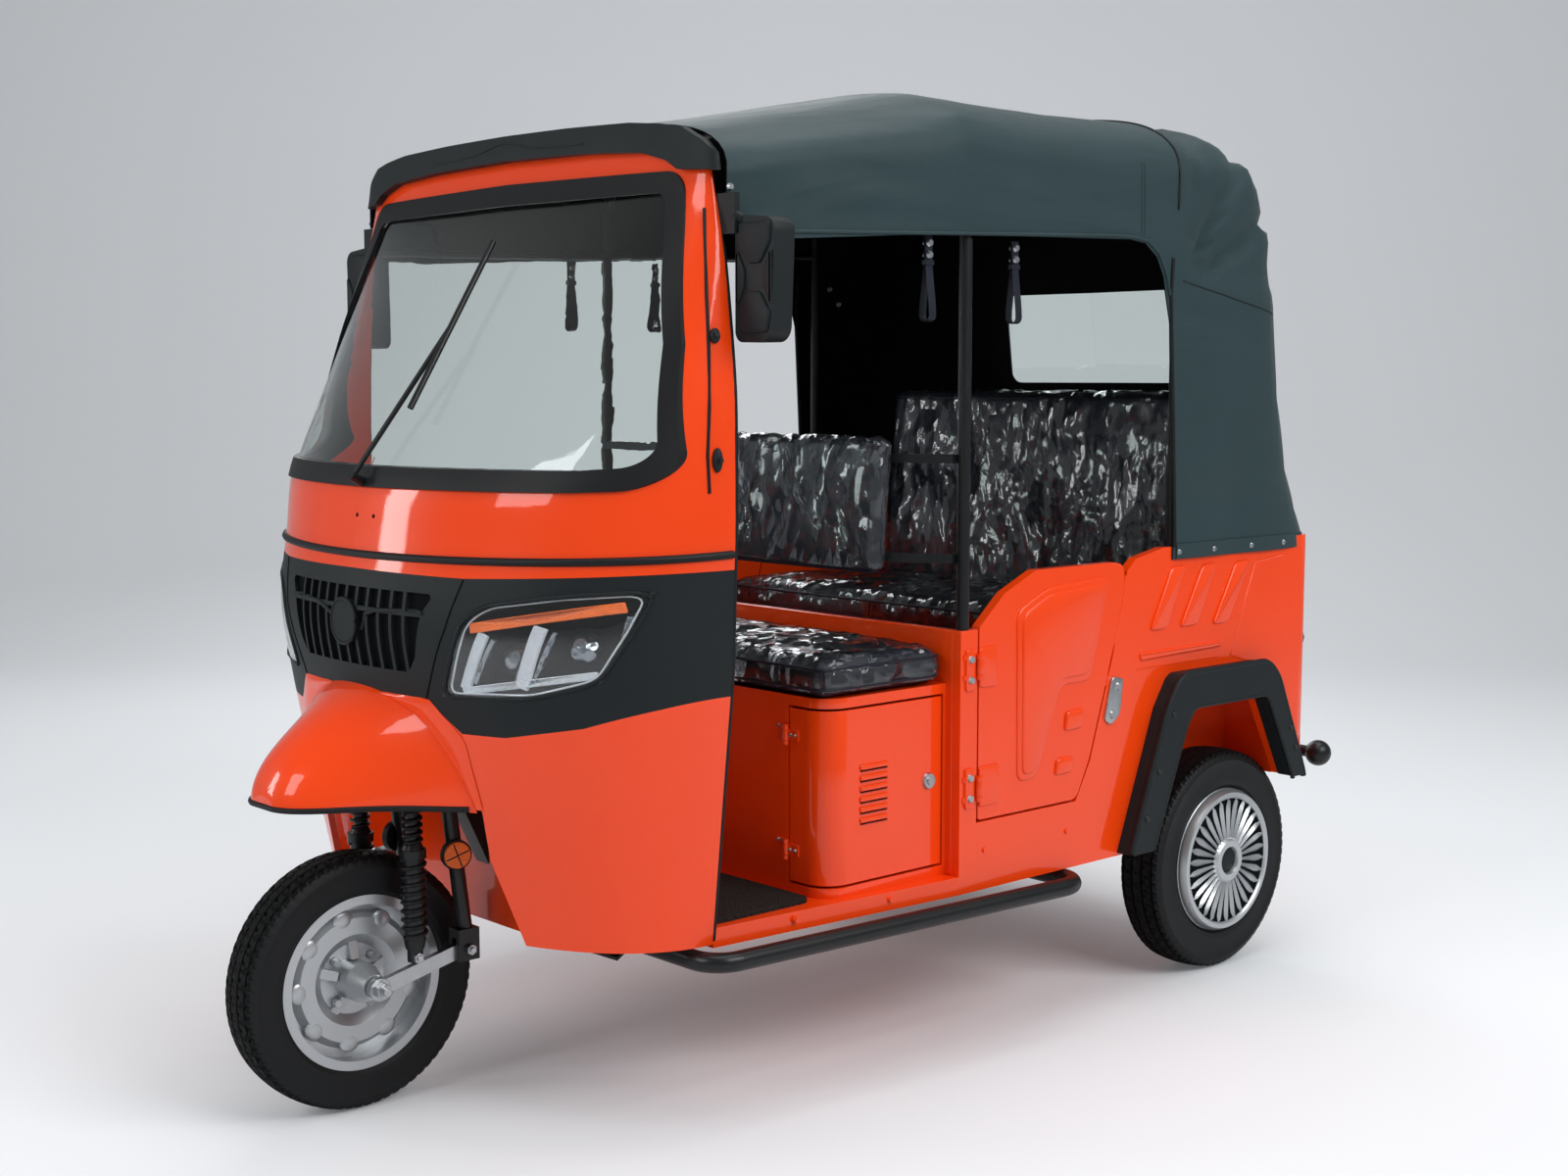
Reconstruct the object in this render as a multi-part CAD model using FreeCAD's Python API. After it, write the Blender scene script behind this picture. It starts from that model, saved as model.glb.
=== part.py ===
import FreeCAD, Part
import math
import os
from FreeCAD import Vector

# Three-wheeled auto rickshaw with a hard cab front, a canvas roof and an open passenger bay.
# Frame: X forward, Y to the vehicle's left, Z up, millimetres, origin on the ground under the
# middle of the vehicle. Stations along the vehicle are distances behind the front axle.

# Overall layout
WHEELBASE = 1976.0
TRACK = 1052.0
REAR_OVERHANG = 309.0
BUMPER_REACH = 92.0

# Wheels and tyres
FRONT_TYRE_R = 245.0
FRONT_TYRE_W = 97.0
REAR_TYRE_R = 258.0
REAR_TYRE_W = 110.0
RIM_SEAT_R = 155.0
RIM_FLANGE_R = 167.6
RIM_FLANGE_T = 4.0
RIM_WALL = 5.0
RIM_W = 84.0
HUB_R = 38.0
AXLE_TUBE_R = 28.0
AXLE_R = 11.0
RUN_CLEAR = 0.05

# Clearances
GAP = 5.0
SEAT_GAP = 0.3

# Lengthways layout, from the wheelbase
REAR_D = WHEELBASE
TAIL_D = WHEELBASE + REAR_OVERHANG
LENGTH = FRONT_TYRE_R + TAIL_D + BUMPER_REACH
X_FRONT = LENGTH / 2 - FRONT_TYRE_R

# Cab skin: depth in front of the cab's rear edge and half width, at heights above ground
CAB_REAR = 430.0
CAB_BOTTOM = 345.0
CAB_TOP = 1850.0
CAB_LAYERS = 18
CAB_DEPTHS = ((345, 310), (600, 370), (820, 412), (925, 428), (1010, 418), (1050, 408),
              (1190, 384), (1300, 318), (1500, 188), (1645, 93), (1735, 48), (1850, 27))
CAB_HALF_WIDTHS = ((345, 557), (505, 575), (724, 600), (867, 615), (1027, 621), (1128, 625),
                   (1311, 624), (1534, 604), (1613, 592), (1744, 562), (1850, 540))
CAB_FULLNESS = 0.6125
CAB_WALL = 14.0
SEAL_PROUD = 6.0
VISOR_PROUD = 26.0
GLASS_T = 6.0
GLASS_INSET = 4.0
DASH_Z = 1032.0
DASH_T = 24.0
DASH_REAR = 300.0

# Nose openings in front view (Y, Z), left half
WINDOW_SEAL = ((0, 1180), (489, 1183), (614, 1189, 62), (584, 1441), (541, 1626),
               (512, 1749, 52), (198, 1753), (0, 1756))
WINDOW_GLASS = ((0, 1218), (482, 1221), (590, 1229, 42), (560, 1441), (503, 1627),
                (479, 1711, 34), (212, 1712), (0, 1714))
CAB_CREST = ((0, 1838), (380, 1831), (500, 1816), (545, 1790), (600, 1745), (660, 1738))
FASCIA_TOP = ((0, 1030), (313, 1028), (500, 1036), (660, 1044))
FASCIA_LOW = ((0, 801), (218, 801), (287, 745), (375, 745), (499, 768), (581, 800), (660, 835))
GRILLE_HOLE = ((0, 850), (182, 850, 16), (205, 880), (226, 962), (254, 997, 8), (0, 997))
GRILLE_SLATS = 11
GRILLE_PITCH = 36.0
GRILLE_BAR = 8.0
GRILLE_DISC_R = 42.0
GRILLE_DISC_Z = 930.0
LAMP = ((258, 812), (430, 819), (530, 851), (568, 936), (589, 1012), (489, 1004), (361, 983),
        (317, 953), (285, 875))
WHEEL_CUT = ((0, 801), (218, 801), (287, 732), (299, 594), (295, 505), (333, CAB_BOTTOM))

# Fender rows: station, half width, low and top height, and fullness of the section
FENDER_T = 6.0
FENDER_ROWS = ((-176, 40, 598, 622, 0.55), (-138, 96, 598, 694, 0.6), (-62, 142, 603, 758, 0.6),
               (20, 206, 604, 812, 0.7), (130, 306, 592, 822, 0.85))

# Passenger tub
SIDE_Y = 600.0
PANEL_T = 22.0
FLOOR_Z = 345.0
FLOOR_T = 30.0
PILLAR_SHARE = 0.529
PILLAR_D = round(PILLAR_SHARE * WHEELBASE)
PILLAR_TOP = 877.0
WALL_T = 20.0
TAIL_BULGE = 40.0
TAIL_CORNER = 52.0
WAIST_Z = 1008.0
SILL_BOTTOM = 338.0
SILL_T = 26.0
SIDE_REAR_Z = 440.0
WELL_D = 300.0
WELL_T = 8.0
WELL_HALF_W = 286.0
WELL_TOP = 800.0

# Rear wheel arches, from the rear axle
ARCH_FRONT = REAR_D - 316.0
ARCH_REAR = REAR_D + 199.0
ARCH_INNER_Y = 440.0
ARCH_TOP = 650.0
ARCH_T = 6.0

# Side doors
DOOR_FRONT = PILLAR_D + 55.0
DOOR_REAR = REAR_D - 414.0
DOOR_SCALE = (DOOR_REAR - DOOR_FRONT) / 462.0
DOOR_BOTTOM = 485.0
DOOR_TOP = 986.0
DOOR_SWING_GAP = 5.0
HINGE_PIN_R = 4.0
HINGE_BARREL_R = 8.0
HINGE_BARREL_H = 30.0
HINGE_HEIGHTS = (552.0, 802.0)
HINGE_LEAF_T = 3.0
HINGE_LUG_H = 11.0
HINGE_LEAF_W = 40.0
PILLAR_LEAF_START = 8.0

# Seats
BOX_FRONT = PILLAR_D - 333.0
BOX_SIDE_Y = 560.0
BOX_TOP = 768.0
BOX_WALL = 12.0
BOX_CORNER = 55.0
BOX_HINGE_Y = 452.0
BOX_HINGE_HEIGHTS = (462.0, 690.0)
BOX_KNUCKLE_H = 22.0
BOX_BARREL_R = 6.0
BOX_PIN_R = 3.0
BOX_EDGE = 20.0
BOX_REAR_EDGE = 8.0
BOX_LUG_H = 9.0
BOX_LEAF_W = 32.0
CUSHION_LIP = 14.0
CUSHION_SIDE = 6.0
CUSHION_H = 92.0
BACK_Y0 = -50.0
BACK_Y1 = 490.0
BACK_LOW = 990.0
BACK_TOP = 1265.0
BACK_TUBE = 18.0
BACK_T = 58.0
BACK_AHEAD = 98.0
BACK_LEAN = 20.0
BACK_BAR_INSET = 60.0
BACK_BAR_UP = 22.0
BACK_BAR_DOWN = 53.0
BACK_BITE = 2.0
BENCH_BACK = WHEELBASE - 116.0
BENCH_FRONT = BENCH_BACK - 460.0
BENCH_SEAT_Z = 800.0
BENCH_BACK_TOP = 1350.0
BENCH_HALF_W = 470.0

# Canopy
CANVAS_T = 8.0
CANOPY_HALF_W = SIDE_Y + CANVAS_T
CANOPY_SHOULDER_Z = 1826.0
CANOPY_TOP = 1965.0
CANOPY_HEM_Z = 980.0
HEM_LINE = ((586, 1633), (965, 1658))
HEM_FRONT_Z = 1632.0
OPENING_REAR = ((-418, 1674, 60), (-321, 1649, 40), (-274, 1589, 40), (-248, 1000), (-248, 900))
CANOPY_FRONT_TOP = 1850.0
BOW_D = PILLAR_D - 5.0
POST_D = PILLAR_D + 21.0
POST_R = 13.0
POST_INSET = 15.0
BOW_R = 11.0
BOW_FOOT_Z = 1655.0
REAR_BOW_D = REAR_D - 228.0
RAIL_TUBE_R = 9.0
CANOPY_REAR_ROWS = ((979, 8, 60), (1008, 8, 60), (1157, -66, 72), (1341, -116, 84), (1570, -146, 92),
                    (1722, -166, 104), (1772, -174, 110), (1825, -230, 120), (1856, -252, 125),
                    (1908, -285, 130), (1930, -350, 140), (1950, -430, 150), (1975, -620, 160))
REAR_WINDOW_Y = 270.0
REAR_WINDOW_LOW = 1368.0
REAR_WINDOW_TOP = 1595.0

# Peak over the windscreen
VISOR_LOW = ((0, 1800), (264, 1795), (414, 1786), (480, 1768), (510, 1750), (660, 1742))
VISOR_TOP = ((0, 1849), (200, 1847), (380, 1842), (460, 1834), (510, 1826), (555, 1800), (600, 1760), (660, 1756))

# Chassis
RAIL_Y = 250.0
RAIL_W = 40.0
RAIL_H = 40.0
STEP_TUBE_R = 19.0
STEP_FRONT = CAB_REAR - 30.0
STEP_REAR = DOOR_REAR - 182.0
ENGINE_REAR = PILLAR_D - 40.0
ENGINE_FRONT = ENGINE_REAR - 240.0
ENGINE_HALF_W = 170.0
BALL_Y = 590.0
BALL_Z = 466.0
BALL_R = 31.5
BUMPER_R = 14.0
SPRING_HALF_W = 22.0
SPRING_FRONT = 300.0
SPRING_REAR = 240.0
SPRING_EYE = 15.0
SPRING_T = 8.0
HELPER_FRONT = 180.0
HELPER_REAR = 150.0
HELPER_T = 6.0
DIFF_R = 80.0
SHAFT_R = 22.0
SHAFT_DROP = 85.0

# Steering and front suspension
RAKE = 20.0
STEER_D = 120.0
STEER_Z = 600.0
STEM_R = 15.0
HEAD_TUBE_R = 26.0
BAR_RISE = 500.0
LINK_Y = 95.0
LINK_T = 14.0
LINK_PIVOT = (189.0, 288.0)
SHOCK_FOOT = (83.0, 259.0)
SHOCK_TOP_Z = 584.0
SHOCK_R = 26.0
SHOCK_HEAD_D = 79.0
SHOCK_ROD_R = 14.0
SHOCK_FOOT_H = 60.0
SHOCK_CAP_H = 30.0
FORK_LEG_R = 15.0
FORK_HEAD_D = 158.0
CROWN = (64.0, 168.0)
CROWN_SIDE = 16.0
CROWN_T = 22.0
GRIP_R = 11.0
CLAMP_R = 24.0
BAR_BEND = (-20.0, 120.0, 30.0)
BAR_END = (-90.0, 330.0, 20.0)
LINK_HALF_H = 14.0
LINK_EYE_R = 20.0

# Flares, hand straps and mirrors
STRAP_W = 32.0
STRAP_BAND = 24.0
STRAP_T = 5.0
STRAP_LOW = 1486.0
STRAP_NECK = 1600.0
FLARE_PROUD = 46.0
MIRROR_Y = 664.0
MIRROR_D = 464.0
MIRROR_Z = 1556.0
MIRROR_W = 104.0
MIRROR_H = 224.0
MIRROR_T = 48.0
MIRROR_ARM_R = 9.0
MIRROR_GLASS_T = 4.0
BRACKET_T = 12.0
BRACKET_LOW = 79.0
BRACKET_TOP = 149.0
WIPER_PIVOT = (45.0, 8.0, 1186.0)
WIPER_LOW = (122.0, 87.0, 1312.0)
WIPER_TOP = (326.0, 66.0, 1626.0)
WIPER_LIFT = (26.0, 4.0, 14.0)
TAIL_LAMP_Y = (470.0, 540.0)
TAIL_LAMP_Z = (700.0, 880.0)
TAIL_LAMP_REACH = (10.0, 30.0)

STEER_TAN = math.tan(math.radians(RAKE))


def X(d):
    """Frame X of a station d behind the front axle."""
    return X_FRONT - d


def corner_wire(points, place):
    """Closed wire through (u, v) or (u, v, radius) corners, with place(u, v) giving the vector."""
    count = len(points)
    starts = []
    ends = []
    mids = []
    for i in range(count):
        u, v = points[i][0], points[i][1]
        radius = points[i][2] if len(points[i]) > 2 else 0.0
        if radius <= 0.0:
            starts.append((u, v))
            ends.append((u, v))
            mids.append(None)
            continue
        pu, pv = points[i - 1][0], points[i - 1][1]
        nu, nv = points[(i + 1) % count][0], points[(i + 1) % count][1]
        a = Vector(pu - u, pv - v, 0).normalize()
        b = Vector(nu - u, nv - v, 0).normalize()
        half = a.getAngle(b) / 2
        cut = radius / math.tan(half)
        bisect = (a + b).normalize()
        reach = radius / math.sin(half) - radius
        starts.append((u + a.x * cut, v + a.y * cut))
        ends.append((u + b.x * cut, v + b.y * cut))
        mids.append((u + bisect.x * reach, v + bisect.y * reach))
    edges = []
    for i in range(count):
        if mids[i] is not None:
            edges.append(Part.Arc(place(*starts[i]), place(*mids[i]), place(*ends[i])).toShape())
        here = place(*ends[i])
        there = place(*starts[(i + 1) % count])
        if here.distanceToPoint(there) > 1e-6:
            edges.append(Part.LineSegment(here, there).toShape())
    return Part.Wire(edges)


def prism_x(points, x0, x1):
    """Outline in (Y, Z) run along X."""
    face = Part.Face(corner_wire(points, lambda u, v: Vector(x0, u, v)))
    return face.extrude(Vector(x1 - x0, 0, 0))


def prism_y(points, y0, y1):
    """Outline in (station, Z) run along Y."""
    face = Part.Face(corner_wire(points, lambda u, v: Vector(X(u), y0, v)))
    return face.extrude(Vector(0, y1 - y0, 0))


def prism_z(points, z0, z1):
    """Outline in (station, Y) run along Z."""
    face = Part.Face(corner_wire(points, lambda u, v: Vector(X(u), v, z0)))
    return face.extrude(Vector(0, 0, z1 - z0))


def box(d0, d1, y0, y1, z0, z1):
    """Block between two stations, two Y planes and two heights."""
    return Part.makeBox(d1 - d0, y1 - y0, z1 - z0, Vector(X(d1), y0, z0))


def cylinder(radius, start, end):
    """Round bar from start to end."""
    return Part.makeCylinder(radius, (end - start).Length, start, end - start)


def mirrored(shape):
    """The shape seen in the vehicle's middle plane."""
    return shape.mirror(Vector(0, 0, 0), Vector(0, 1, 0))


def pair(shape):
    """The shape and its mirror image, as solids that don't touch."""
    return Part.makeCompound(shape.Solids + mirrored(shape).Solids)


def full_outline(half):
    """Front-view outline from its left half, given from one middle point to the other."""
    other = [(-p[0],) + tuple(p[1:]) for p in reversed(half) if abs(p[0]) > 1e-6]
    return list(half) + other


def shifted(points, start):
    """Side-view outline moved back by start."""
    return [(p[0] + start,) + tuple(p[1:]) for p in points]


def fuse(shapes):
    """One shape from pieces that overlap or touch."""
    result = shapes[0].fuse(list(shapes[1:])) if len(shapes) > 1 else shapes[0]
    return result.removeSplitter()


def rod(points, radius, bend):
    """Round bar along a path of straight runs joined by bends."""
    edges = []
    last = points[0]
    for i in range(1, len(points) - 1):
        a = (points[i - 1] - points[i]).normalize()
        b = (points[i + 1] - points[i]).normalize()
        half = a.getAngle(b) / 2
        cut = bend / math.tan(half)
        mid = points[i] + (a + b).normalize() * (bend / math.sin(half) - bend)
        start = points[i] + a * cut
        end = points[i] + b * cut
        if last.distanceToPoint(start) > 1e-6:
            edges.append(Part.LineSegment(last, start).toShape())
        edges.append(Part.Arc(start, mid, end).toShape())
        last = end
    edges.append(Part.LineSegment(last, points[-1]).toShape())
    path = Part.Wire(edges)
    ring = Part.Wire(Part.makeCircle(radius, points[0], points[1] - points[0]))
    return path.makePipeShell([ring], True, False)


def between(table, z):
    """Smooth value of a table of (height, value) pairs at height z."""
    heights = [row[0] for row in table]
    values = [row[1] for row in table]
    if z <= heights[0]:
        return values[0]
    if z >= heights[-1]:
        return values[-1]
    slopes = [(values[i + 1] - values[i]) / (heights[i + 1] - heights[i]) for i in range(len(table) - 1)]
    i = max(k for k in range(len(table) - 1) if heights[k] <= z)
    span = heights[i + 1] - heights[i]

    def tangent(k):
        if k == 0:
            return slopes[0]
        if k == len(table) - 1:
            return slopes[-1]
        if slopes[k - 1] * slopes[k] <= 0:
            return 0.0
        return 2 * slopes[k - 1] * slopes[k] / (slopes[k - 1] + slopes[k])

    t = (z - heights[i]) / span
    return (values[i] * (2 * t ** 3 - 3 * t ** 2 + 1) + tangent(i) * span * (t ** 3 - 2 * t ** 2 + t)
            + values[i + 1] * (3 * t ** 2 - 2 * t ** 3) + tangent(i + 1) * span * (t ** 3 - t ** 2))


def quarter(start, start_out, end_out, end):
    """Smooth quarter turn from start to end, leaving towards start_out and arriving from end_out."""
    curve = Part.BezierCurve()
    curve.setPoles([start, start_out, end_out, end])
    return curve.toShape()


def cab_section(z, offset):
    """Plan outline of the cab skin at height z, moved out by offset."""
    depth = between(CAB_DEPTHS, z) + offset
    half = between(CAB_HALF_WIDTHS, z) + offset
    x = X(CAB_REAR)
    full = CAB_FULLNESS
    nose = Vector(x + depth, 0, z)
    sides = []
    for side in (1, -1):
        rear = Vector(x, side * half, z)
        sides.append((rear, Vector(x + full * depth, side * half, z), Vector(x + depth, side * full * half, z)))
    left, right = sides
    edges = [quarter(left[0], left[1], left[2], nose), quarter(nose, right[2], right[1], right[0]),
             Part.LineSegment(right[0], left[0]).toShape()]
    return Part.Wire(edges)


def cab_solid(offset):
    """The volume inside the cab skin moved out by offset."""
    step = (CAB_TOP - CAB_BOTTOM) / CAB_LAYERS
    heights = [CAB_BOTTOM + i * step for i in range(CAB_LAYERS + 1)]
    return Part.makeLoft([cab_section(z, offset) for z in heights], True, False)


CAB = {offset: cab_solid(offset) for offset in (SEAL_PROUD, 0.0, -CAB_WALL, -GLASS_INSET,
                                                -GLASS_INSET - GLASS_T)}
SHELLS = {}
FAR = X(-400)
NEAR = X(CAB_REAR)


def skin(zone, outer=0.0, inner=-CAB_WALL):
    """The part of the cab skin that a front-view zone covers."""
    if (outer, inner) not in SHELLS:
        SHELLS[(outer, inner)] = CAB[outer].cut(CAB[inner])
    return SHELLS[(outer, inner)].common(zone)


def band(top, low):
    """Front-view zone between two left-half edges, each from the middle outwards."""
    half = list(low) + list(reversed(top))
    left = prism_x([(p[0], p[1]) for p in half], NEAR, FAR)
    return left.fuse(mirrored(left)).removeSplitter()


def front_cowl():
    """Painted lower nose, below the dark nose panel and around the front wheel."""
    low = ((0, CAB_BOTTOM), (660, CAB_BOTTOM))
    zone = band(FASCIA_LOW, low)
    wheel = prism_x(full_outline(WHEEL_CUT), NEAR, FAR)
    return skin(zone.cut(wheel))


def cab_frame():
    """Painted panel above the nose panel, the windscreen pillars and the header."""
    zone = band(CAB_CREST, FASCIA_TOP)
    window = prism_x(full_outline(WINDOW_SEAL), NEAR, FAR)
    return skin(zone.cut(window))


def fascia():
    """Dark nose panel with its headlamp openings and the grille's recess."""
    zone = band(FASCIA_TOP, FASCIA_LOW)
    shape = skin(zone)
    lamp = prism_x(LAMP, NEAR, FAR)
    recess = prism_x(full_outline(GRILLE_HOLE), NEAR, FAR).cut(CAB[-GLASS_INSET - GLASS_T])
    return shape.cut([lamp, mirrored(lamp), recess])


def headlamp_lenses():
    """Clear lamp covers, flush with the nose panel."""
    lens = skin(prism_x(LAMP, NEAR, FAR), 0.0, -GLASS_INSET)
    return pair(lens)


def headlamp_bowls():
    """Dark housings that close the lamps from behind."""
    wall = 4.0
    depth = 130.0
    back = X(CAB_REAR) + between(CAB_DEPTHS, LAMP[0][1]) * 0.62 - depth
    body = CAB[-GLASS_INSET].common(prism_x(LAMP, back, FAR))
    return pair(body.cut(prism_x(inset_outline(LAMP, wall), back + wall, FAR)))


def inset_outline(points, distance):
    """Outline moved inwards by distance, for a convex outline given anticlockwise."""
    count = len(points)
    moved = []
    for i in range(count):
        p = Vector(points[i][0], points[i][1], 0)
        a = (p - Vector(points[i - 1][0], points[i - 1][1], 0)).normalize()
        b = (Vector(points[(i + 1) % count][0], points[(i + 1) % count][1], 0) - p).normalize()
        na = Vector(-a.y, a.x, 0)
        nb = Vector(-b.y, b.x, 0)
        bisect = (na + nb).normalize()
        q = p + bisect * (distance / max(0.3, bisect.dot(na)))
        moved.append((q.x, q.y))
    return moved


def grille():
    """Upright slats in the grille's recess, with a rail each side of a blank centre disc."""
    zone = skin(prism_x(full_outline(GRILLE_HOLE), NEAR, FAR), 0.0, -GLASS_INSET - GLASS_T)
    half_w = GRILLE_HOLE[4][0]
    bars = []
    for i in range(GRILLE_SLATS):
        y = (i - (GRILLE_SLATS - 1) / 2) * GRILLE_PITCH
        bars.append(Part.makeBox(FAR - NEAR, GRILLE_BAR, 400, Vector(NEAR, y - GRILLE_BAR / 2, 750)))
    rail_z = GRILLE_HOLE[3][1] - GRILLE_BAR
    bars.append(Part.makeBox(FAR - NEAR, 2 * half_w, GRILLE_BAR, Vector(NEAR, -half_w, rail_z)))
    disc = Part.makeCylinder(GRILLE_DISC_R, FAR - NEAR, Vector(NEAR, 0, GRILLE_DISC_Z), Vector(1, 0, 0))
    return zone.common(bars[0].fuse(bars[1:] + [disc]))


def windscreen_seal():
    """Rubber seal between the windscreen and the painted frame."""
    outer = prism_x(full_outline(WINDOW_SEAL), NEAR, FAR)
    inner = prism_x(full_outline(WINDOW_GLASS), NEAR, FAR)
    return skin(outer.cut(inner), SEAL_PROUD)


def windscreen():
    """Curved glass."""
    return skin(prism_x(full_outline(WINDOW_GLASS), NEAR, FAR), -GLASS_INSET, -GLASS_INSET - GLASS_T)


def steer_point(z, offset=0.0):
    """Point of the steering axis at height z, moved ahead of it by offset."""
    return Vector(X(STEER_D + (z - STEER_Z) * STEER_TAN) + offset, 0, z)


def turned(profile, x, y, z):
    """Solid turned about the wheel axis, from (radius, offset along Y) corners."""
    wire = corner_wire(profile, lambda u, v: Vector(x + u, y + v, z))
    return Part.Face(wire).revolve(Vector(x, y, z), Vector(0, 1, 0), 360)


def tyre(x, y, radius, width):
    """Plain tyre with rounded shoulders, seated on its rim."""
    half = width / 2
    bead = RIM_W / 2 - RIM_FLANGE_T
    right = ((RIM_SEAT_R, -bead), (RIM_FLANGE_R, -bead), (RIM_FLANGE_R + 8, -half + 3),
             ((RIM_SEAT_R + radius) / 2, -half), (radius - 22, -half + 3), (radius - 6, -half + 14),
             (radius, -half + 30))
    left = [(r, -v) for r, v in reversed(right)]
    return turned(right + tuple(left), x, y, radius)


def rim_ring(x, y, z):
    """Rim well with its two flanges."""
    half = RIM_W / 2
    inner = RIM_SEAT_R - RIM_WALL
    profile = ((inner, -half), (RIM_FLANGE_R, -half), (RIM_FLANGE_R, -half + RIM_FLANGE_T),
               (RIM_SEAT_R, -half + RIM_FLANGE_T), (RIM_SEAT_R, half - RIM_FLANGE_T),
               (RIM_FLANGE_R, half - RIM_FLANGE_T), (RIM_FLANGE_R, half), (inner, half))
    return turned(profile, x, y, z)


def front_tyre():
    """Front tyre."""
    return tyre(X(0), 0, FRONT_TYRE_R, FRONT_TYRE_W)


def front_rim():
    """Pressed front wheel with its hub, on a plain bearing bore."""
    inner = RIM_SEAT_R - RIM_WALL
    disc = turned(((HUB_R - 4, -4), (70, -4), (90, 12), (118, 12), (130, -2), (inner + 1, -2),
                   (inner + 1, 4), (133, 4), (120, 18), (88, 18), (68, 2), (HUB_R - 4, 2)),
                  X(0), 0, FRONT_TYRE_R)
    hub_half = LINK_Y - LINK_T / 2 - GAP
    bore = AXLE_R + RUN_CLEAR
    hub = turned(((bore, -hub_half), (HUB_R - 14, -hub_half), (HUB_R, -40), (HUB_R, 40),
                  (HUB_R - 14, hub_half), (bore, hub_half)), X(0), 0, FRONT_TYRE_R)
    return fuse([rim_ring(X(0), 0, FRONT_TYRE_R), disc, hub])


def rear_tyre():
    """Left rear tyre."""
    return tyre(X(REAR_D), TRACK / 2, REAR_TYRE_R, REAR_TYRE_W)


def rear_rim():
    """Left rear wheel with its round cover, on the end of the axle."""
    y = TRACK / 2
    inner = RIM_SEAT_R - RIM_WALL
    bore = AXLE_R * 1.5 + RUN_CLEAR
    cover_y = RIM_W / 2
    disc = turned(((bore, -6), (inner + 1, -6), (inner + 1, 4), (bore, 4)), X(REAR_D), y, REAR_TYRE_R)
    cover = turned(((0, cover_y + 8), (RIM_FLANGE_R - 20, cover_y + 8), (RIM_FLANGE_R, cover_y),
                    (RIM_FLANGE_R, cover_y + 6), (RIM_FLANGE_R - 20, cover_y + 20),
                    (60, cover_y + 14), (45, cover_y + 22), (0, cover_y + 22)),
                   X(REAR_D), y, REAR_TYRE_R)
    hub = turned(((bore, -20), (50, -20), (50, cover_y + 9), (AXLE_R * 1.5 + 6, cover_y + 9),
                  (AXLE_R * 1.5 + 6, 24), (bore, 24)), X(REAR_D), y, REAR_TYRE_R)
    return fuse([rim_ring(X(REAR_D), y, REAR_TYRE_R), disc, cover, hub])


def chassis_frame():
    """Ladder frame with the steering head and its neck."""
    z0 = FLOOR_Z - RAIL_H
    front = WELL_D + WELL_T
    rear = TAIL_D - PANEL_T - GAP
    rail = box(front, rear, RAIL_Y - RAIL_W / 2, RAIL_Y + RAIL_W / 2, z0, FLOOR_Z)
    cross = [box(d, d + RAIL_W, -RAIL_Y, RAIL_Y, z0, FLOOR_Z)
             for d in (front, ENGINE_FRONT - RAIL_W, ENGINE_REAR, BENCH_FRONT, rear - RAIL_W)]
    head = cylinder(HEAD_TUBE_R, steer_point(STEER_Z + 40), steer_point(STEER_Z + 200))
    bore = cylinder(STEM_R + RUN_CLEAR, steer_point(STEER_Z - 100), steer_point(STEER_Z + 500))
    return fuse([rail, mirrored(rail)] + cross + [neck(), head]).cut(bore)


def neck():
    """Box beam from the steering head down to the frame."""
    return prism_y(((172, STEER_Z + 90), (355, FLOOR_Z - RAIL_H), (415, FLOOR_Z - RAIL_H),
                    (290, STEER_Z + 160), (205, STEER_Z + 190)), -22, 22)


def engine_block():
    """Engine and gearbox as one plain block between two cross members."""
    return box(ENGINE_FRONT, ENGINE_REAR, -ENGINE_HALF_W, ENGINE_HALF_W, FLOOR_Z - 95, FLOOR_Z + 300)


def floor_outline():
    """Plan of the floor, from the wheel well to the tail."""
    side = SIDE_Y - PANEL_T
    front_half = CAB_HALF_WIDTHS[0][1] - SILL_T
    rear = TAIL_D - PANEL_T - GAP
    return ((WELL_D + WELL_T, -WELL_HALF_W - 4), (CAB_REAR, -front_half), (PILLAR_D, -side), (rear, -side),
            (rear, side), (PILLAR_D, side), (CAB_REAR, front_half), (WELL_D + WELL_T, WELL_HALF_W + 4))


def floor_pan():
    """Floor from the wheel well back under the passengers."""
    pan = prism_z(floor_outline(), FLOOR_Z, FLOOR_Z + FLOOR_T)
    rear = box(CAB_REAR, TAIL_D, -SIDE_Y, SIDE_Y, FLOOR_Z, FLOOR_Z + FLOOR_T)
    pan = fuse([pan.common(CAB[-CAB_WALL]), pan.common(rear)])
    engine = box(ENGINE_FRONT - GAP, ENGINE_REAR + GAP, -ENGINE_HALF_W - GAP, ENGINE_HALF_W + GAP,
                 FLOOR_Z - 1, FLOOR_Z + FLOOR_T + 1)
    arch = box(ARCH_FRONT, TAIL_D, ARCH_INNER_Y, SIDE_Y, FLOOR_Z - 1, FLOOR_Z + FLOOR_T + 1)
    return pan.cut([engine, arch, mirrored(arch), neck()])


def wheel_well():
    """Panel behind the front wheel, with a slot for the steering neck."""
    plate = box(WELL_D, WELL_D + WELL_T, -WELL_HALF_W, WELL_HALF_W, FLOOR_Z - RAIL_H, WELL_TOP)
    return plate.cut(neck())


def splash_panel():
    """Dark plate that slopes down behind the front wheel, under the frame."""
    low = FLOOR_Z - RAIL_H
    front = WELL_D + WELL_T
    return prism_y(((front, low), (470, low - 73), (604, low), (592, low), (470, low - 66),
                    (front + 12, low)), -215, 215)


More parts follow.
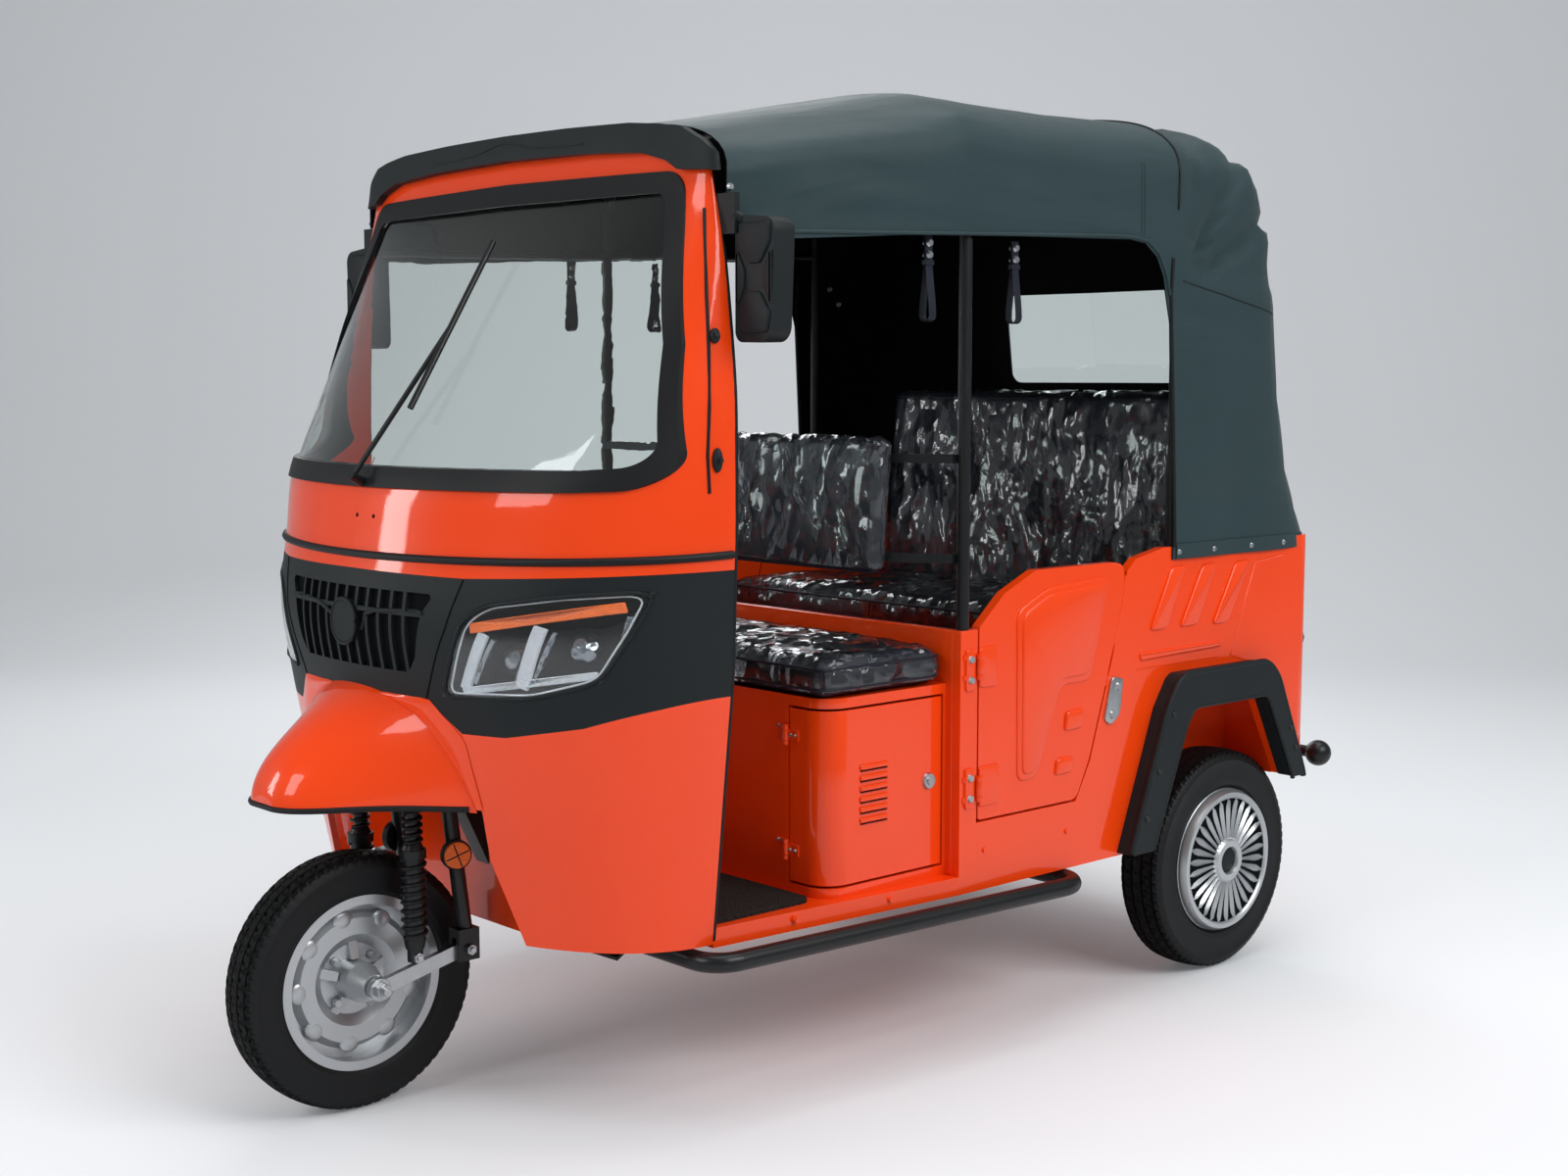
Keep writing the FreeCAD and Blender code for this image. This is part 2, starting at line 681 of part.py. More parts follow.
def fender_section(row, inset):
    """Arched cross-section of the fender, moved in by inset."""
    d, half, low, top, full = row
    h = half - inset
    t = top - inset
    rise = Vector(0, 0, (t - low) * full)
    crown = Vector(X(d), 0, t)
    foot = low - (10 if inset else 0)
    left, right = Vector(X(d), h, foot), Vector(X(d), -h, foot)
    edges = [quarter(left, left + rise, Vector(X(d), h * full, t), crown),
             quarter(crown, Vector(X(d), -h * full, t), right + rise, right),
             Part.LineSegment(right, left).toShape()]
    return Part.Wire(edges)


def front_fender():
    """Fixed mudguard that grows out of the nose over the front wheel."""
    tip, root = FENDER_ROWS[0], FENDER_ROWS[-1]
    outer = Part.makeLoft([fender_section(row, 0.0) for row in FENDER_ROWS], True, False)
    hollow = ((tip[0] + FENDER_T,) + tip[1:],) + FENDER_ROWS[1:-1] + ((root[0] + 1,) + root[1:],)
    inner = Part.makeLoft([fender_section(row, FENDER_T) for row in hollow], True, False)
    return outer.cut(inner).cut(CAB[0.0])


def dashboard():
    """Shelf and binnacle behind the windscreen, with the steering column through it."""
    plate = CAB[-CAB_WALL].common(box(-50, DASH_REAR, -640, 640, DASH_Z, DASH_Z + DASH_T))
    hole = cylinder(STEM_R + 14, steer_point(STEER_Z + 200), steer_point(STEER_Z + 700))
    return plate.cut(hole)


def seat_box():
    """Painted box under the driver's seat, open on the left behind its door."""
    z0 = FLOOR_Z + FLOOR_T
    outer = prism_z(((BOX_FRONT, -BOX_SIDE_Y, BOX_CORNER), (PILLAR_D, -BOX_SIDE_Y),
                     (PILLAR_D, BOX_SIDE_Y), (BOX_FRONT, BOX_SIDE_Y, BOX_CORNER)), z0, BOX_TOP)
    w = BOX_WALL
    inner = prism_z(((BOX_FRONT + w, -BOX_SIDE_Y + w, BOX_CORNER - w), (PILLAR_D - w, -BOX_SIDE_Y + w),
                     (PILLAR_D - w, BOX_SIDE_Y - w), (BOX_FRONT + w, BOX_SIDE_Y - w, BOX_CORNER - w)),
                    z0 - 1, BOX_TOP - w)
    doorway = box(BOX_FRONT - BOX_EDGE, PILLAR_D - BOX_REAR_EDGE, BOX_HINGE_Y, BOX_SIDE_Y + BOX_EDGE,
                  z0 + BOX_EDGE, BOX_TOP - BOX_EDGE)
    hinges = []
    half = BOX_KNUCKLE_H / 2
    for z in BOX_HINGE_HEIGHTS:
        hinges.append(cylinder(BOX_PIN_R, box_hinge_axis(z - half - BOX_LUG_H),
                               box_hinge_axis(z + half + BOX_LUG_H)))
        for low, high in ((z + half + SEAT_GAP, z + half + BOX_LUG_H), (z - half - BOX_LUG_H, z - half - SEAT_GAP)):
            hinges.append(cylinder(BOX_BARREL_R, box_hinge_axis(low), box_hinge_axis(high)))
            hinges.append(box(BOX_FRONT - HINGE_LEAF_T, BOX_FRONT, BOX_HINGE_Y - BOX_LEAF_W, BOX_HINGE_Y,
                              low, high))
    return fuse([outer.cut(inner).cut(doorway)] + hinges)


def box_hinge_axis(z):
    """Seat box door hinge axis at height z."""
    return Vector(X(BOX_FRONT - BOX_BARREL_R), BOX_HINGE_Y, z)


def seat_box_door():
    """Door that wraps round the front left corner of the seat box."""
    z0 = FLOOR_Z + FLOOR_T + BOX_EDGE
    outer = prism_z(((BOX_FRONT, 0), (PILLAR_D, 0), (PILLAR_D, BOX_SIDE_Y),
                     (BOX_FRONT, BOX_SIDE_Y, BOX_CORNER)), z0 + GAP, BOX_TOP - BOX_EDGE - GAP)
    w = BOX_WALL
    inner = prism_z(((BOX_FRONT + w, 0), (PILLAR_D, 0), (PILLAR_D, BOX_SIDE_Y - w),
                     (BOX_FRONT + w, BOX_SIDE_Y - w, BOX_CORNER - w)), z0, BOX_TOP)
    zone = box(BOX_FRONT - BOX_EDGE, PILLAR_D - BOX_REAR_EDGE - GAP, BOX_HINGE_Y + GAP, BOX_SIDE_Y + BOX_EDGE,
               z0, BOX_TOP)
    half = BOX_KNUCKLE_H / 2
    knuckles = []
    bores = []
    for z in BOX_HINGE_HEIGHTS:
        knuckles.append(cylinder(BOX_BARREL_R, box_hinge_axis(z - half), box_hinge_axis(z + half)))
        knuckles.append(box(BOX_FRONT - HINGE_LEAF_T, BOX_FRONT, BOX_HINGE_Y, BOX_HINGE_Y + BOX_LEAF_W,
                            z - half, z + half))
        bores.append(cylinder(BOX_PIN_R + RUN_CLEAR, box_hinge_axis(z - half - 1), box_hinge_axis(z + half + 1)))
    return fuse([outer.cut(inner).common(zone)] + knuckles).cut(bores)


def driver_cushion():
    """Driver's seat cushion on the seat box."""
    front, rear = BOX_FRONT - CUSHION_LIP, PILLAR_D - BOX_REAR_EDGE
    half = BOX_SIDE_Y + CUSHION_SIDE
    return prism_z(((front, -half, 50), (rear, -half, 20), (rear, half, 20), (front, half, 50)),
                   BOX_TOP, BOX_TOP + CUSHION_H)


def driver_backrest():
    """Driver's backrest pad."""
    rear = PILLAR_D - BACK_AHEAD
    front = rear - BACK_T
    outline = ((front, BACK_LOW, 20), (rear, BACK_LOW, 20), (rear + BACK_LEAN, BACK_TOP, 25),
               (front + BACK_LEAN, BACK_TOP, 25))
    return prism_y(outline, BACK_Y0, BACK_Y1)


def backrest_frame():
    """Two cross tubes between the roof posts, joined by short uprights, that carry the driver's backrest."""
    t = BACK_TUBE
    end = SIDE_Y - POST_INSET - BACK_TUBE / 2
    low, high = BACK_LOW + BACK_BAR_UP, BACK_TOP - BACK_BAR_DOWN
    inner, outer = BACK_Y0 + BACK_BAR_INSET, BACK_Y1 - BACK_BAR_INSET
    tubes = []
    for z in (low, high):
        d = back_rear(z)
        tip = POST_D - BACK_TUBE - 6
        plan = ((d, inner), (d, outer), (tip, end), (tip + t, end), (d + t, outer), (d + t, inner),
                (tip + t, -end), (tip, -end))
        tubes.append(prism_z(plan, z, z + t))
    for y in (inner + t, outer - t):
        foot, head = back_rear(low), back_rear(high + t)
        upright = ((foot, low), (foot + t, low), (head + t, high + t), (head, high + t))
        tubes.append(prism_y(upright, y - t / 2, y + t / 2))
    return fuse(tubes).cut([driver_backrest(), post(), mirrored(post())])


def back_rear(z):
    """Station just inside the rear face of the driver's backrest at height z."""
    return PILLAR_D - BACK_AHEAD - BACK_BITE + BACK_LEAN * (z - BACK_LOW) / (BACK_TOP - BACK_LOW)


def post():
    """Left roof post, on top of the door pillar."""
    y = SIDE_Y - POST_INSET
    return cylinder(POST_R, Vector(X(POST_D), y, PILLAR_TOP), Vector(X(POST_D), y, BOW_FOOT_Z))


def partition():
    """Painted wall behind the driver's seat."""
    z0 = FLOOR_Z + FLOOR_T
    return box(PILLAR_D, PILLAR_D + WALL_T, -SIDE_Y + PANEL_T, SIDE_Y - PANEL_T, z0, PILLAR_TOP)


def side_profile():
    """Side view of the tub flank, from the pillar to the tail."""
    gap = DOOR_SWING_GAP
    front = [(PILLAR_D, SILL_BOTTOM), (PILLAR_D, PILLAR_TOP), (DOOR_FRONT - gap, PILLAR_TOP)]
    doorway = shifted(((-gap, DOOR_BOTTOM - gap), (310 * DOOR_SCALE, DOOR_BOTTOM - gap),
                       (356 * DOOR_SCALE, 567 - gap), (420 * DOOR_SCALE + gap, 771)), DOOR_FRONT)
    beside = shifted(((gap, 924), (gap + 6, 964), (43, 990), (138, WAIST_Z)), DOOR_REAR)
    tail = [(TAIL_D, WAIST_Z), (TAIL_D, SIDE_REAR_Z), (ARCH_REAR - 5, SIDE_REAR_Z)]
    arch = shifted(((74, ARCH_TOP), (-208, ARCH_TOP), (-236, 615), (-366, SILL_BOTTOM)), REAR_D)
    return front + doorway + beside + tail + arch


def side_panels():
    """Painted flanks of the passenger tub with sills, pillars and wheel openings."""
    side = SIDE_Y - PANEL_T
    left = prism_y(side_profile(), side, SIDE_Y)
    tail = prism_z(tail_plan(0.0), 0, 2000)
    left = left.common(tail)
    pins = [hinge_post(z) for z in HINGE_HEIGHTS]
    front = CAB_HALF_WIDTHS[0][1]
    sill = prism_z(((CAB_REAR, front), (PILLAR_D, SIDE_Y), (PILLAR_D, side), (CAB_REAR, front - SILL_T)),
                   SILL_BOTTOM, FLOOR_Z + FLOOR_T)
    return pair(fuse([left, sill] + pins))


def tail_plan(inset):
    """Plan of the tub towards the tail, with its rounded corners and gentle bulge."""
    side = SIDE_Y - inset
    rear = TAIL_D - inset
    return ((0, -side), (rear, -side, TAIL_CORNER - inset), (rear + TAIL_BULGE, 0),
            (rear, side, TAIL_CORNER - inset), (0, side))


def tail_panel():
    """Painted rear panel between the flanks."""
    outer = prism_z(tail_plan(0.0), SIDE_REAR_Z, WAIST_Z)
    inner = prism_z(tail_plan(PANEL_T), SIDE_REAR_Z - 1, WAIST_Z + 1)
    shell = outer.cut(inner)
    zone = box(TAIL_D - TAIL_CORNER, TAIL_D + TAIL_BULGE + 1, -SIDE_Y, SIDE_Y, SIDE_REAR_Z, WAIST_Z)
    flank = prism_y(side_profile(), SIDE_Y - PANEL_T, SIDE_Y + 1)
    return shell.common(zone).cut([flank, mirrored(flank)])


def hinge_axis(z):
    """Left door hinge axis at height z."""
    return Vector(X(DOOR_FRONT - DOOR_SWING_GAP), SIDE_Y + HINGE_BARREL_R, z)


def hinge_post(z):
    """Pin, lugs and leaf of one hinge on the pillar."""
    half = HINGE_BARREL_H / 2
    reach = half + HINGE_LUG_H
    pin = cylinder(HINGE_PIN_R, hinge_axis(z - reach), hinge_axis(z + reach))
    lugs = [cylinder(HINGE_BARREL_R, hinge_axis(z + half + SEAT_GAP), hinge_axis(z + reach)),
            cylinder(HINGE_BARREL_R, hinge_axis(z - reach), hinge_axis(z - half - SEAT_GAP))]
    leaves = []
    for low, high in ((z + half + SEAT_GAP, z + reach), (z - reach, z - half - SEAT_GAP)):
        leaves.append(box(PILLAR_D + PILLAR_LEAF_START, DOOR_FRONT - DOOR_SWING_GAP, SIDE_Y,
                          SIDE_Y + HINGE_LEAF_T, low, high))
    return fuse([pin] + lugs + leaves)


def door():
    """Left passenger door with its two hinge leaves."""
    outline = ((0, DOOR_BOTTOM, 8), (310, DOOR_BOTTOM, 30), (352, 567, 30), (420, 771, 20), (462, 924, 10),
               (462, DOOR_TOP - 8, 20), (430, DOOR_TOP, 30), (172, DOOR_TOP, 30), (76, 945, 30), (0, 880, 10))
    outline = [(p[0] * DOOR_SCALE,) + p[1:] for p in outline]
    slab = prism_y(shifted(outline, DOOR_FRONT), SIDE_Y - PANEL_T, SIDE_Y)
    half = HINGE_BARREL_H / 2
    knuckles = []
    for z in HINGE_HEIGHTS:
        knuckles.append(cylinder(HINGE_BARREL_R, hinge_axis(z - half), hinge_axis(z + half)))
        knuckles.append(box(DOOR_FRONT - DOOR_SWING_GAP, DOOR_FRONT + HINGE_LEAF_W, SIDE_Y, SIDE_Y + HINGE_LEAF_T,
                            z - half, z + half))
    holes = [cylinder(HINGE_PIN_R + RUN_CLEAR, hinge_axis(z - half - 1), hinge_axis(z + half + 1))
             for z in HINGE_HEIGHTS]
    return fuse([slab] + knuckles).cut(holes)


def wheel_flares():
    """Dark flares round the rear wheel openings."""
    outline = ((-423, 345), (-303, 655, 30), (-254, 727, 40), (74, 727, 40), (116, 690, 30), (232, 440),
               (186, 440), (74, ARCH_TOP, 10), (-208, ARCH_TOP, 10), (-236, 615, 20), (-351, 345))
    return pair(prism_y(shifted(outline, REAR_D), SIDE_Y, SIDE_Y + FLARE_PROUD))


def wheel_housings():
    """Inner housings that close the tub over the rear wheels."""
    z0 = FLOOR_Z + FLOOR_T
    side = SIDE_Y - PANEL_T
    outer = box(ARCH_FRONT - ARCH_T, ARCH_REAR + ARCH_T - 10, ARCH_INNER_Y - ARCH_T, side, z0, ARCH_TOP + ARCH_T)
    inner = box(ARCH_FRONT, ARCH_REAR - 10, ARCH_INNER_Y, side + 1, z0 - 1, ARCH_TOP)
    rear_low = box(ARCH_REAR - 11, ARCH_REAR + 20, ARCH_INNER_Y, side + 1, z0 - 1, SIDE_REAR_Z)
    return pair(outer.cut([inner, rear_low]))


def bench_base():
    """Painted box under the passenger bench."""
    z0 = FLOOR_Z + FLOOR_T
    half = ARCH_INNER_Y - ARCH_T - 10
    outer = box(BENCH_FRONT + 20, BENCH_BACK + 90, -half, half, z0, BENCH_SEAT_Z)
    inner = box(BENCH_FRONT + 32, BENCH_BACK + 78, -half + 12, half - 12, z0 - 1, BENCH_SEAT_Z - 12)
    return outer.cut(inner)


def passenger_cushion():
    """Passenger seat cushion."""
    return prism_y(((BENCH_FRONT, BENCH_SEAT_Z, 20), (BENCH_BACK, BENCH_SEAT_Z), (BENCH_BACK, BENCH_SEAT_Z + 90),
                    (BENCH_FRONT, BENCH_SEAT_Z + 95, 40)), -BENCH_HALF_W - 60, BENCH_HALF_W + 60)


def passenger_backrest():
    """Passenger backrest."""
    return prism_y(((BENCH_BACK, BENCH_SEAT_Z, 10), (BENCH_BACK + 90, BENCH_SEAT_Z, 10),
                    (BENCH_BACK + 130, BENCH_BACK_TOP, 30), (BENCH_BACK + 50, BENCH_BACK_TOP, 30)),
                   -BENCH_HALF_W, BENCH_HALF_W)


def canopy_section(d, top, shoulder, half, inset, low):
    """Cross-section of the canopy at station d."""
    h = half - inset
    t = top - inset
    s = shoulder - inset * 0.5
    points = [(-h, low), (-h, s), (-h * 0.87, s + (t - s) * 0.74), (-h * 0.79, s + (t - s) * 0.86),
              (-h * 0.4, t - 5), (0, t)]
    full = points + [(-y, z) for y, z in reversed(points[:-1])]
    return corner_wire(full, lambda u, v: Vector(X(d), u, v))


def canopy_rear(inset):
    """Volume ahead of the canopy's back, with rounded corners, moved in by inset."""
    half = CANOPY_HALF_W - inset + 1
    plans = []
    for z, rear, corner in CANOPY_REAR_ROWS:
        d = TAIL_D + rear - inset
        plan = ((0, -half), (d, -half, corner), (d + TAIL_BULGE, 0), (d, half, corner), (0, half))
        level = z - inset * 0.5
        plans.append(corner_wire(plan, lambda u, v, level=level: Vector(X(u), v, level)))
    return Part.makeLoft(plans, True, True)


def canopy_solid(inset):
    """Volume under the canvas, moved in by inset."""
    low = CANOPY_HEM_Z
    front = (CAB_REAR, CANOPY_FRONT_TOP, 1754, CANOPY_HALF_W - 6)
    bow = (BOW_D, CANOPY_TOP, CANOPY_SHOULDER_Z, CANOPY_HALF_W)
    rear = (TAIL_D + TAIL_BULGE + 60, CANOPY_TOP, CANOPY_SHOULDER_Z, CANOPY_HALF_W)
    parts = [Part.makeLoft([canopy_section(a[0], a[1], a[2], a[3], inset, low),
                            canopy_section(b[0], b[1], b[2], b[3], inset, low)], True, True)
             for a, b in ((front, bow), (bow, rear))]
    return parts[0].fuse(parts[1]).common(canopy_rear(inset))


def rear_window_hole():
    """Run of the rear window's outline through the canopy's back."""
    y, low, top = REAR_WINDOW_Y, REAR_WINDOW_LOW, REAR_WINDOW_TOP
    return prism_x(((-y, low, 30), (y, low, 30), (y, top, 30), (-y, top, 30)), X(TAIL_D + 100), X(TAIL_D - 300))


def canopy():
    """Canvas roof, rear quarters and back, with its side openings and rear window."""
    shell = canopy_solid(0.0).cut(canopy_solid(CANVAS_T))
    cab_side = [(CAB_REAR - 100, 900), (CAB_REAR - 100, HEM_FRONT_Z)] + list(HEM_LINE)
    sides = prism_y(cab_side + shifted(OPENING_REAR, REAR_D), -700, 700)
    tail = prism_z(tail_plan(0.0), CANOPY_HEM_Z - 1, WAIST_Z)
    return shell.cut([sides, rear_window_hole(), tail, mirror_bracket(), mirrored(mirror_bracket())])


def rear_window():
    """Clear flexible pane in the back of the canopy."""
    sheet = canopy_solid(CANVAS_T / 4).cut(canopy_solid(CANVAS_T * 3 / 4))
    return sheet.common(rear_window_hole())


def canopy_frame():
    """Posts and bows under the canvas."""
    inside = CANOPY_HALF_W - CANVAS_T - SEAT_GAP - BOW_R
    pieces = [post(), mirrored(post())]
    for d, low, drop in ((POST_D, BOW_FOOT_Z, 31), (REAR_BOW_D, WAIST_Z, 31)):
        top = CANOPY_TOP - drop
        route = [Vector(X(d), inside - 6, low), Vector(X(d), inside - 6, CANOPY_SHOULDER_Z - 20),
                 Vector(X(d), inside - 120, top - 18), Vector(X(d), 0, top)]
        route += [Vector(p.x, -p.y, p.z) for p in reversed(route[:-1])]
        pieces.append(rod(route, BOW_R, 60.0))
    rail = cylinder(RAIL_TUBE_R, hem_rail(CAB_REAR + 20), hem_rail(REAR_BOW_D))
    pieces += [rail, mirrored(rail)]
    return fuse(pieces)


def hem_rail(d):
    """Middle of the left rail inside the canvas hem, at station d."""
    return Vector(X(d), SIDE_Y - 17.3, 1650 + (d - CAB_REAR) * 0.032)


def visor():
    """Dark peak over the windscreen."""
    return cab_solid(VISOR_PROUD).common(band(VISOR_TOP, VISOR_LOW)).cut(CAB[0.0])


def mirrors():
    """Door mirrors on arms from the pillars."""
    w = MIRROR_W / 2
    h = MIRROR_H / 2
    head = prism_x(((MIRROR_Y - w, MIRROR_Z - h, 20), (MIRROR_Y + w - 10, MIRROR_Z - h, 30),
                    (MIRROR_Y + w, MIRROR_Z + h - 10, 25), (MIRROR_Y - w, MIRROR_Z + h, 25)),
                   X(MIRROR_D + MIRROR_T / 2), X(MIRROR_D - MIRROR_T / 2))
    arm = cylinder(MIRROR_ARM_R, Vector(X(CAB_REAR + BRACKET_T / 2), MIRROR_Y - w + 2, MIRROR_Z + h),
                   Vector(X(MIRROR_D), MIRROR_Y - w + 30, MIRROR_Z + h - 25))
    return pair(fuse([head, arm, mirror_bracket()]).cut(mirror_glass()))


def mirror_bracket():
    """Plate behind the left pillar that carries the mirror arm."""
    return box(CAB_REAR, CAB_REAR + BRACKET_T, SIDE_Y - 25, MIRROR_Y - MIRROR_W / 2 + 10,
               MIRROR_Z + BRACKET_LOW, MIRROR_Z + BRACKET_TOP)


def mirror_glass():
    """Glass let into the back of the left mirror."""
    w = MIRROR_W / 2 - 12
    h = MIRROR_H / 2 - 14
    return prism_x(((MIRROR_Y - w, MIRROR_Z - h, 14), (MIRROR_Y + w - 10, MIRROR_Z - h, 22),
                    (MIRROR_Y + w, MIRROR_Z + h - 10, 18), (MIRROR_Y - w, MIRROR_Z + h, 18)),
                   X(MIRROR_D + MIRROR_T / 2), X(MIRROR_D + MIRROR_T / 2 - MIRROR_GLASS_T))


def step_tubes():
    """Tubes along the sills that serve as steps."""
    z = SILL_BOTTOM - STEP_TUBE_R - 1
    inner = RAIL_Y + RAIL_W / 2
    route = [Vector(X(STEP_FRONT), inner, z), Vector(X(STEP_FRONT), SIDE_Y - 5, z),
             Vector(X(STEP_REAR), SIDE_Y + 55, z), Vector(X(STEP_REAR), inner, z)]
    return pair(rod(route, STEP_TUBE_R, 60.0))


def wiper():
    """Wiper with its arm and blade, lying in front of the glass."""
    pivot, low, top = (Vector(X(p[0]), p[1], p[2]) for p in (WIPER_PIVOT, WIPER_LOW, WIPER_TOP))
    joint = (low + top) * 0.5
    ahead = Vector(*WIPER_LIFT)
    arm = cylinder(5, pivot + ahead, joint + ahead)
    blade = cylinder(6, low + ahead, top + ahead)
    shaft = cylinder(9, pivot - ahead, pivot + ahead * 1.2)
    return fuse([arm, blade, shaft]).cut([CAB[SEAL_PROUD]])


def grab_straps():
    """Hanging hand loops under the hem, two on each side."""
    loops = []
    for d in (PILLAR_D - 85, PILLAR_D + 167):
        x = X(d)
        y = hem_rail(d).y
        top = hem_rail(d).z - RAIL_TUBE_R - SEAT_GAP
        w = STRAP_W / 2
        outer = prism_x(((y - w, STRAP_LOW, w - 4), (y + w, STRAP_LOW, w - 4), (y + w - 3, top), (y - w + 3, top)),
                        x - STRAP_BAND / 2, x + STRAP_BAND / 2)
        t = STRAP_T
        inner = prism_x(((y - w + t, STRAP_LOW + t, w - 4 - t), (y + w - t, STRAP_LOW + t, w - 4 - t),
                         (y + 5, STRAP_NECK), (y - 5, STRAP_NECK)), x - STRAP_BAND, x + STRAP_BAND)
        loops.append(outer.cut(inner))
    return pair(Part.makeCompound(loops))


def tail_lamps():
    """Rear lamp blocks."""
    lamp = box(TAIL_D - TAIL_LAMP_REACH[0], TAIL_D + TAIL_LAMP_REACH[1], *TAIL_LAMP_Y, *TAIL_LAMP_Z)
    return pair(lamp.cut(prism_z(tail_plan(0.0), SIDE_REAR_Z, WAIST_Z)))


def rear_bumper():
    """Rear bumper tube with a ball at each end."""
    x = X(TAIL_D + BUMPER_REACH - BALL_R)
    bar = cylinder(BUMPER_R, Vector(x, -BALL_Y, BALL_Z), Vector(x, BALL_Y, BALL_Z))
    balls = [Part.makeSphere(BALL_R, Vector(x, side * BALL_Y, BALL_Z)) for side in (-1, 1)]
    stays = [cylinder(BUMPER_R - 2, Vector(x, side * RAIL_Y, BALL_Z), Vector(X(TAIL_D), side * RAIL_Y, BALL_Z))
             for side in (-1, 1)]
    tub = prism_z(tail_plan(0.0), SIDE_REAR_Z, WAIST_Z)
    return fuse([bar] + balls + stays).cut(tub)


def rear_axle():
    """Beam axle with its differential and the propeller shaft."""
    y = TRACK / 2
    z = REAR_TYRE_R
    x = X(REAR_D)
    tube_end = y - RIM_W / 2 - 12
    tube = cylinder(AXLE_TUBE_R, Vector(x, -tube_end, z), Vector(x, tube_end, z))
    bulb = Part.makeSphere(DIFF_R, Vector(x, 0, z))
    stubs = cylinder(AXLE_R * 1.5, Vector(x, -y - 18, z), Vector(x, y + 18, z))
    shaft = cylinder(SHAFT_R, Vector(x, 0, z), Vector(X(ENGINE_REAR), 0, FLOOR_Z - SHAFT_DROP))
    return fuse([tube, bulb, stubs, shaft]).cut(engine_block())


def leaf_springs():
    """Leaf springs between the frame rails and the axle."""
    z = REAR_TYRE_R + AXLE_TUBE_R
    y0, y1 = RAIL_Y - SPRING_HALF_W, RAIL_Y + SPRING_HALF_W
    frame = FLOOR_Z - RAIL_H
    front, rear = REAR_D - SPRING_FRONT, REAR_D + SPRING_REAR
    return pair(fuse([box(front, rear, y0, y1, z, z + SPRING_T),
                      box(front, front + SPRING_EYE, y0, y1, z, frame),
                      box(rear - SPRING_EYE, rear, y0, y1, z, frame),
                      box(REAR_D - HELPER_FRONT, REAR_D + HELPER_REAR, y0, y1, z + SPRING_T,
                          z + SPRING_T + HELPER_T)]))


def steering_fork():
    """Steering stem, crown, fork legs and the handlebar on top."""
    stem = cylinder(STEM_R, steer_point(STEER_Z - 10), steer_point(STEER_Z + BAR_RISE))
    crown_z = STEER_Z - 8
    half = LINK_Y + CROWN_SIDE
    crown = box(CROWN[0], CROWN[1], -half, half, crown_z, crown_z + CROWN_T)
    collar = cylinder(HEAD_TUBE_R, steer_point(STEER_Z - 10), steer_point(STEER_Z + 40 - SEAT_GAP))
    legs = []
    for side in (-1, 1):
        foot = Vector(X(LINK_PIVOT[0] + 6), side * LINK_Y, LINK_PIVOT[1] + 22)
        legs.append(cylinder(FORK_LEG_R, foot, Vector(X(FORK_HEAD_D), side * LINK_Y, crown_z + 4)))
        legs.append(box(LINK_PIVOT[0] - 20, LINK_PIVOT[0] + 26, side * LINK_Y - 18, side * LINK_Y + 18,
                        LINK_PIVOT[1] - 22, LINK_PIVOT[1] + 40))
        legs[-1] = legs[-1].cut(box(LINK_PIVOT[0] - 30, LINK_PIVOT[0] + 16, side * LINK_Y - LINK_T / 2,
                                    side * LINK_Y + LINK_T / 2, LINK_PIVOT[1] - 30, LINK_PIVOT[1] + 22))
    top = steer_point(STEER_Z + BAR_RISE - 5)
    bar = [top, top + Vector(*BAR_BEND), top + Vector(*BAR_END)]
    grips = []
    for side in (-1, 1):
        points = [Vector(p.x, side * p.y, p.z) for p in bar]
        grips.append(cylinder(GRIP_R, points[0], points[1]))
        grips.append(Part.makeSphere(GRIP_R, points[1]))
        grips.append(cylinder(GRIP_R, points[1], points[2]))
    clamp = Part.makeSphere(CLAMP_R, top)
    return fuse([stem, crown, collar, clamp] + legs + grips)


def suspension_links():
    """Links from the fork feet to the front axle, with the axle."""
    parts = []
    for side in (-1, 1):
        start = Vector(X(0), side * LINK_Y, FRONT_TYRE_R)
        end = Vector(X(LINK_PIVOT[0]), side * LINK_Y, LINK_PIVOT[1])
        along = (end - start).normalize()
        up = Vector(-along.z, 0, along.x)
        if up.z < 0:
            up = up * -1
        rise = up * LINK_HALF_H
        corners = [start - rise, end - rise, end + rise, start + rise]
        face = Part.Face(Part.makePolygon([c - Vector(0, LINK_T / 2, 0) for c in corners + corners[:1]]))
        parts.append(face.extrude(Vector(0, LINK_T, 0)))
        parts.append(cylinder(LINK_EYE_R, start - Vector(0, LINK_T / 2, 0), start + Vector(0, LINK_T / 2, 0)))
    axle = cylinder(AXLE_R, Vector(X(0), -LINK_Y - 30, FRONT_TYRE_R), Vector(X(0), LINK_Y + 30, FRONT_TYRE_R))
    return fuse(parts + [axle]).cut(steering_fork())


def shock_absorbers():
    """Coil-over shock absorbers beside the front wheel."""
    foot = Vector(X(SHOCK_FOOT[0]), LINK_Y, SHOCK_FOOT[1] + 24)
    top = Vector(X(SHOCK_HEAD_D), LINK_Y, SHOCK_TOP_Z)
    body = cylinder(SHOCK_ROD_R, foot, top + Vector(0, 0, 8))
    spring = cylinder(SHOCK_R, foot + Vector(0, 0, SHOCK_FOOT_H), top - Vector(0, 0, SHOCK_CAP_H))
    return pair(fuse([body, spring]).cut([steering_fork(), suspension_links()]))


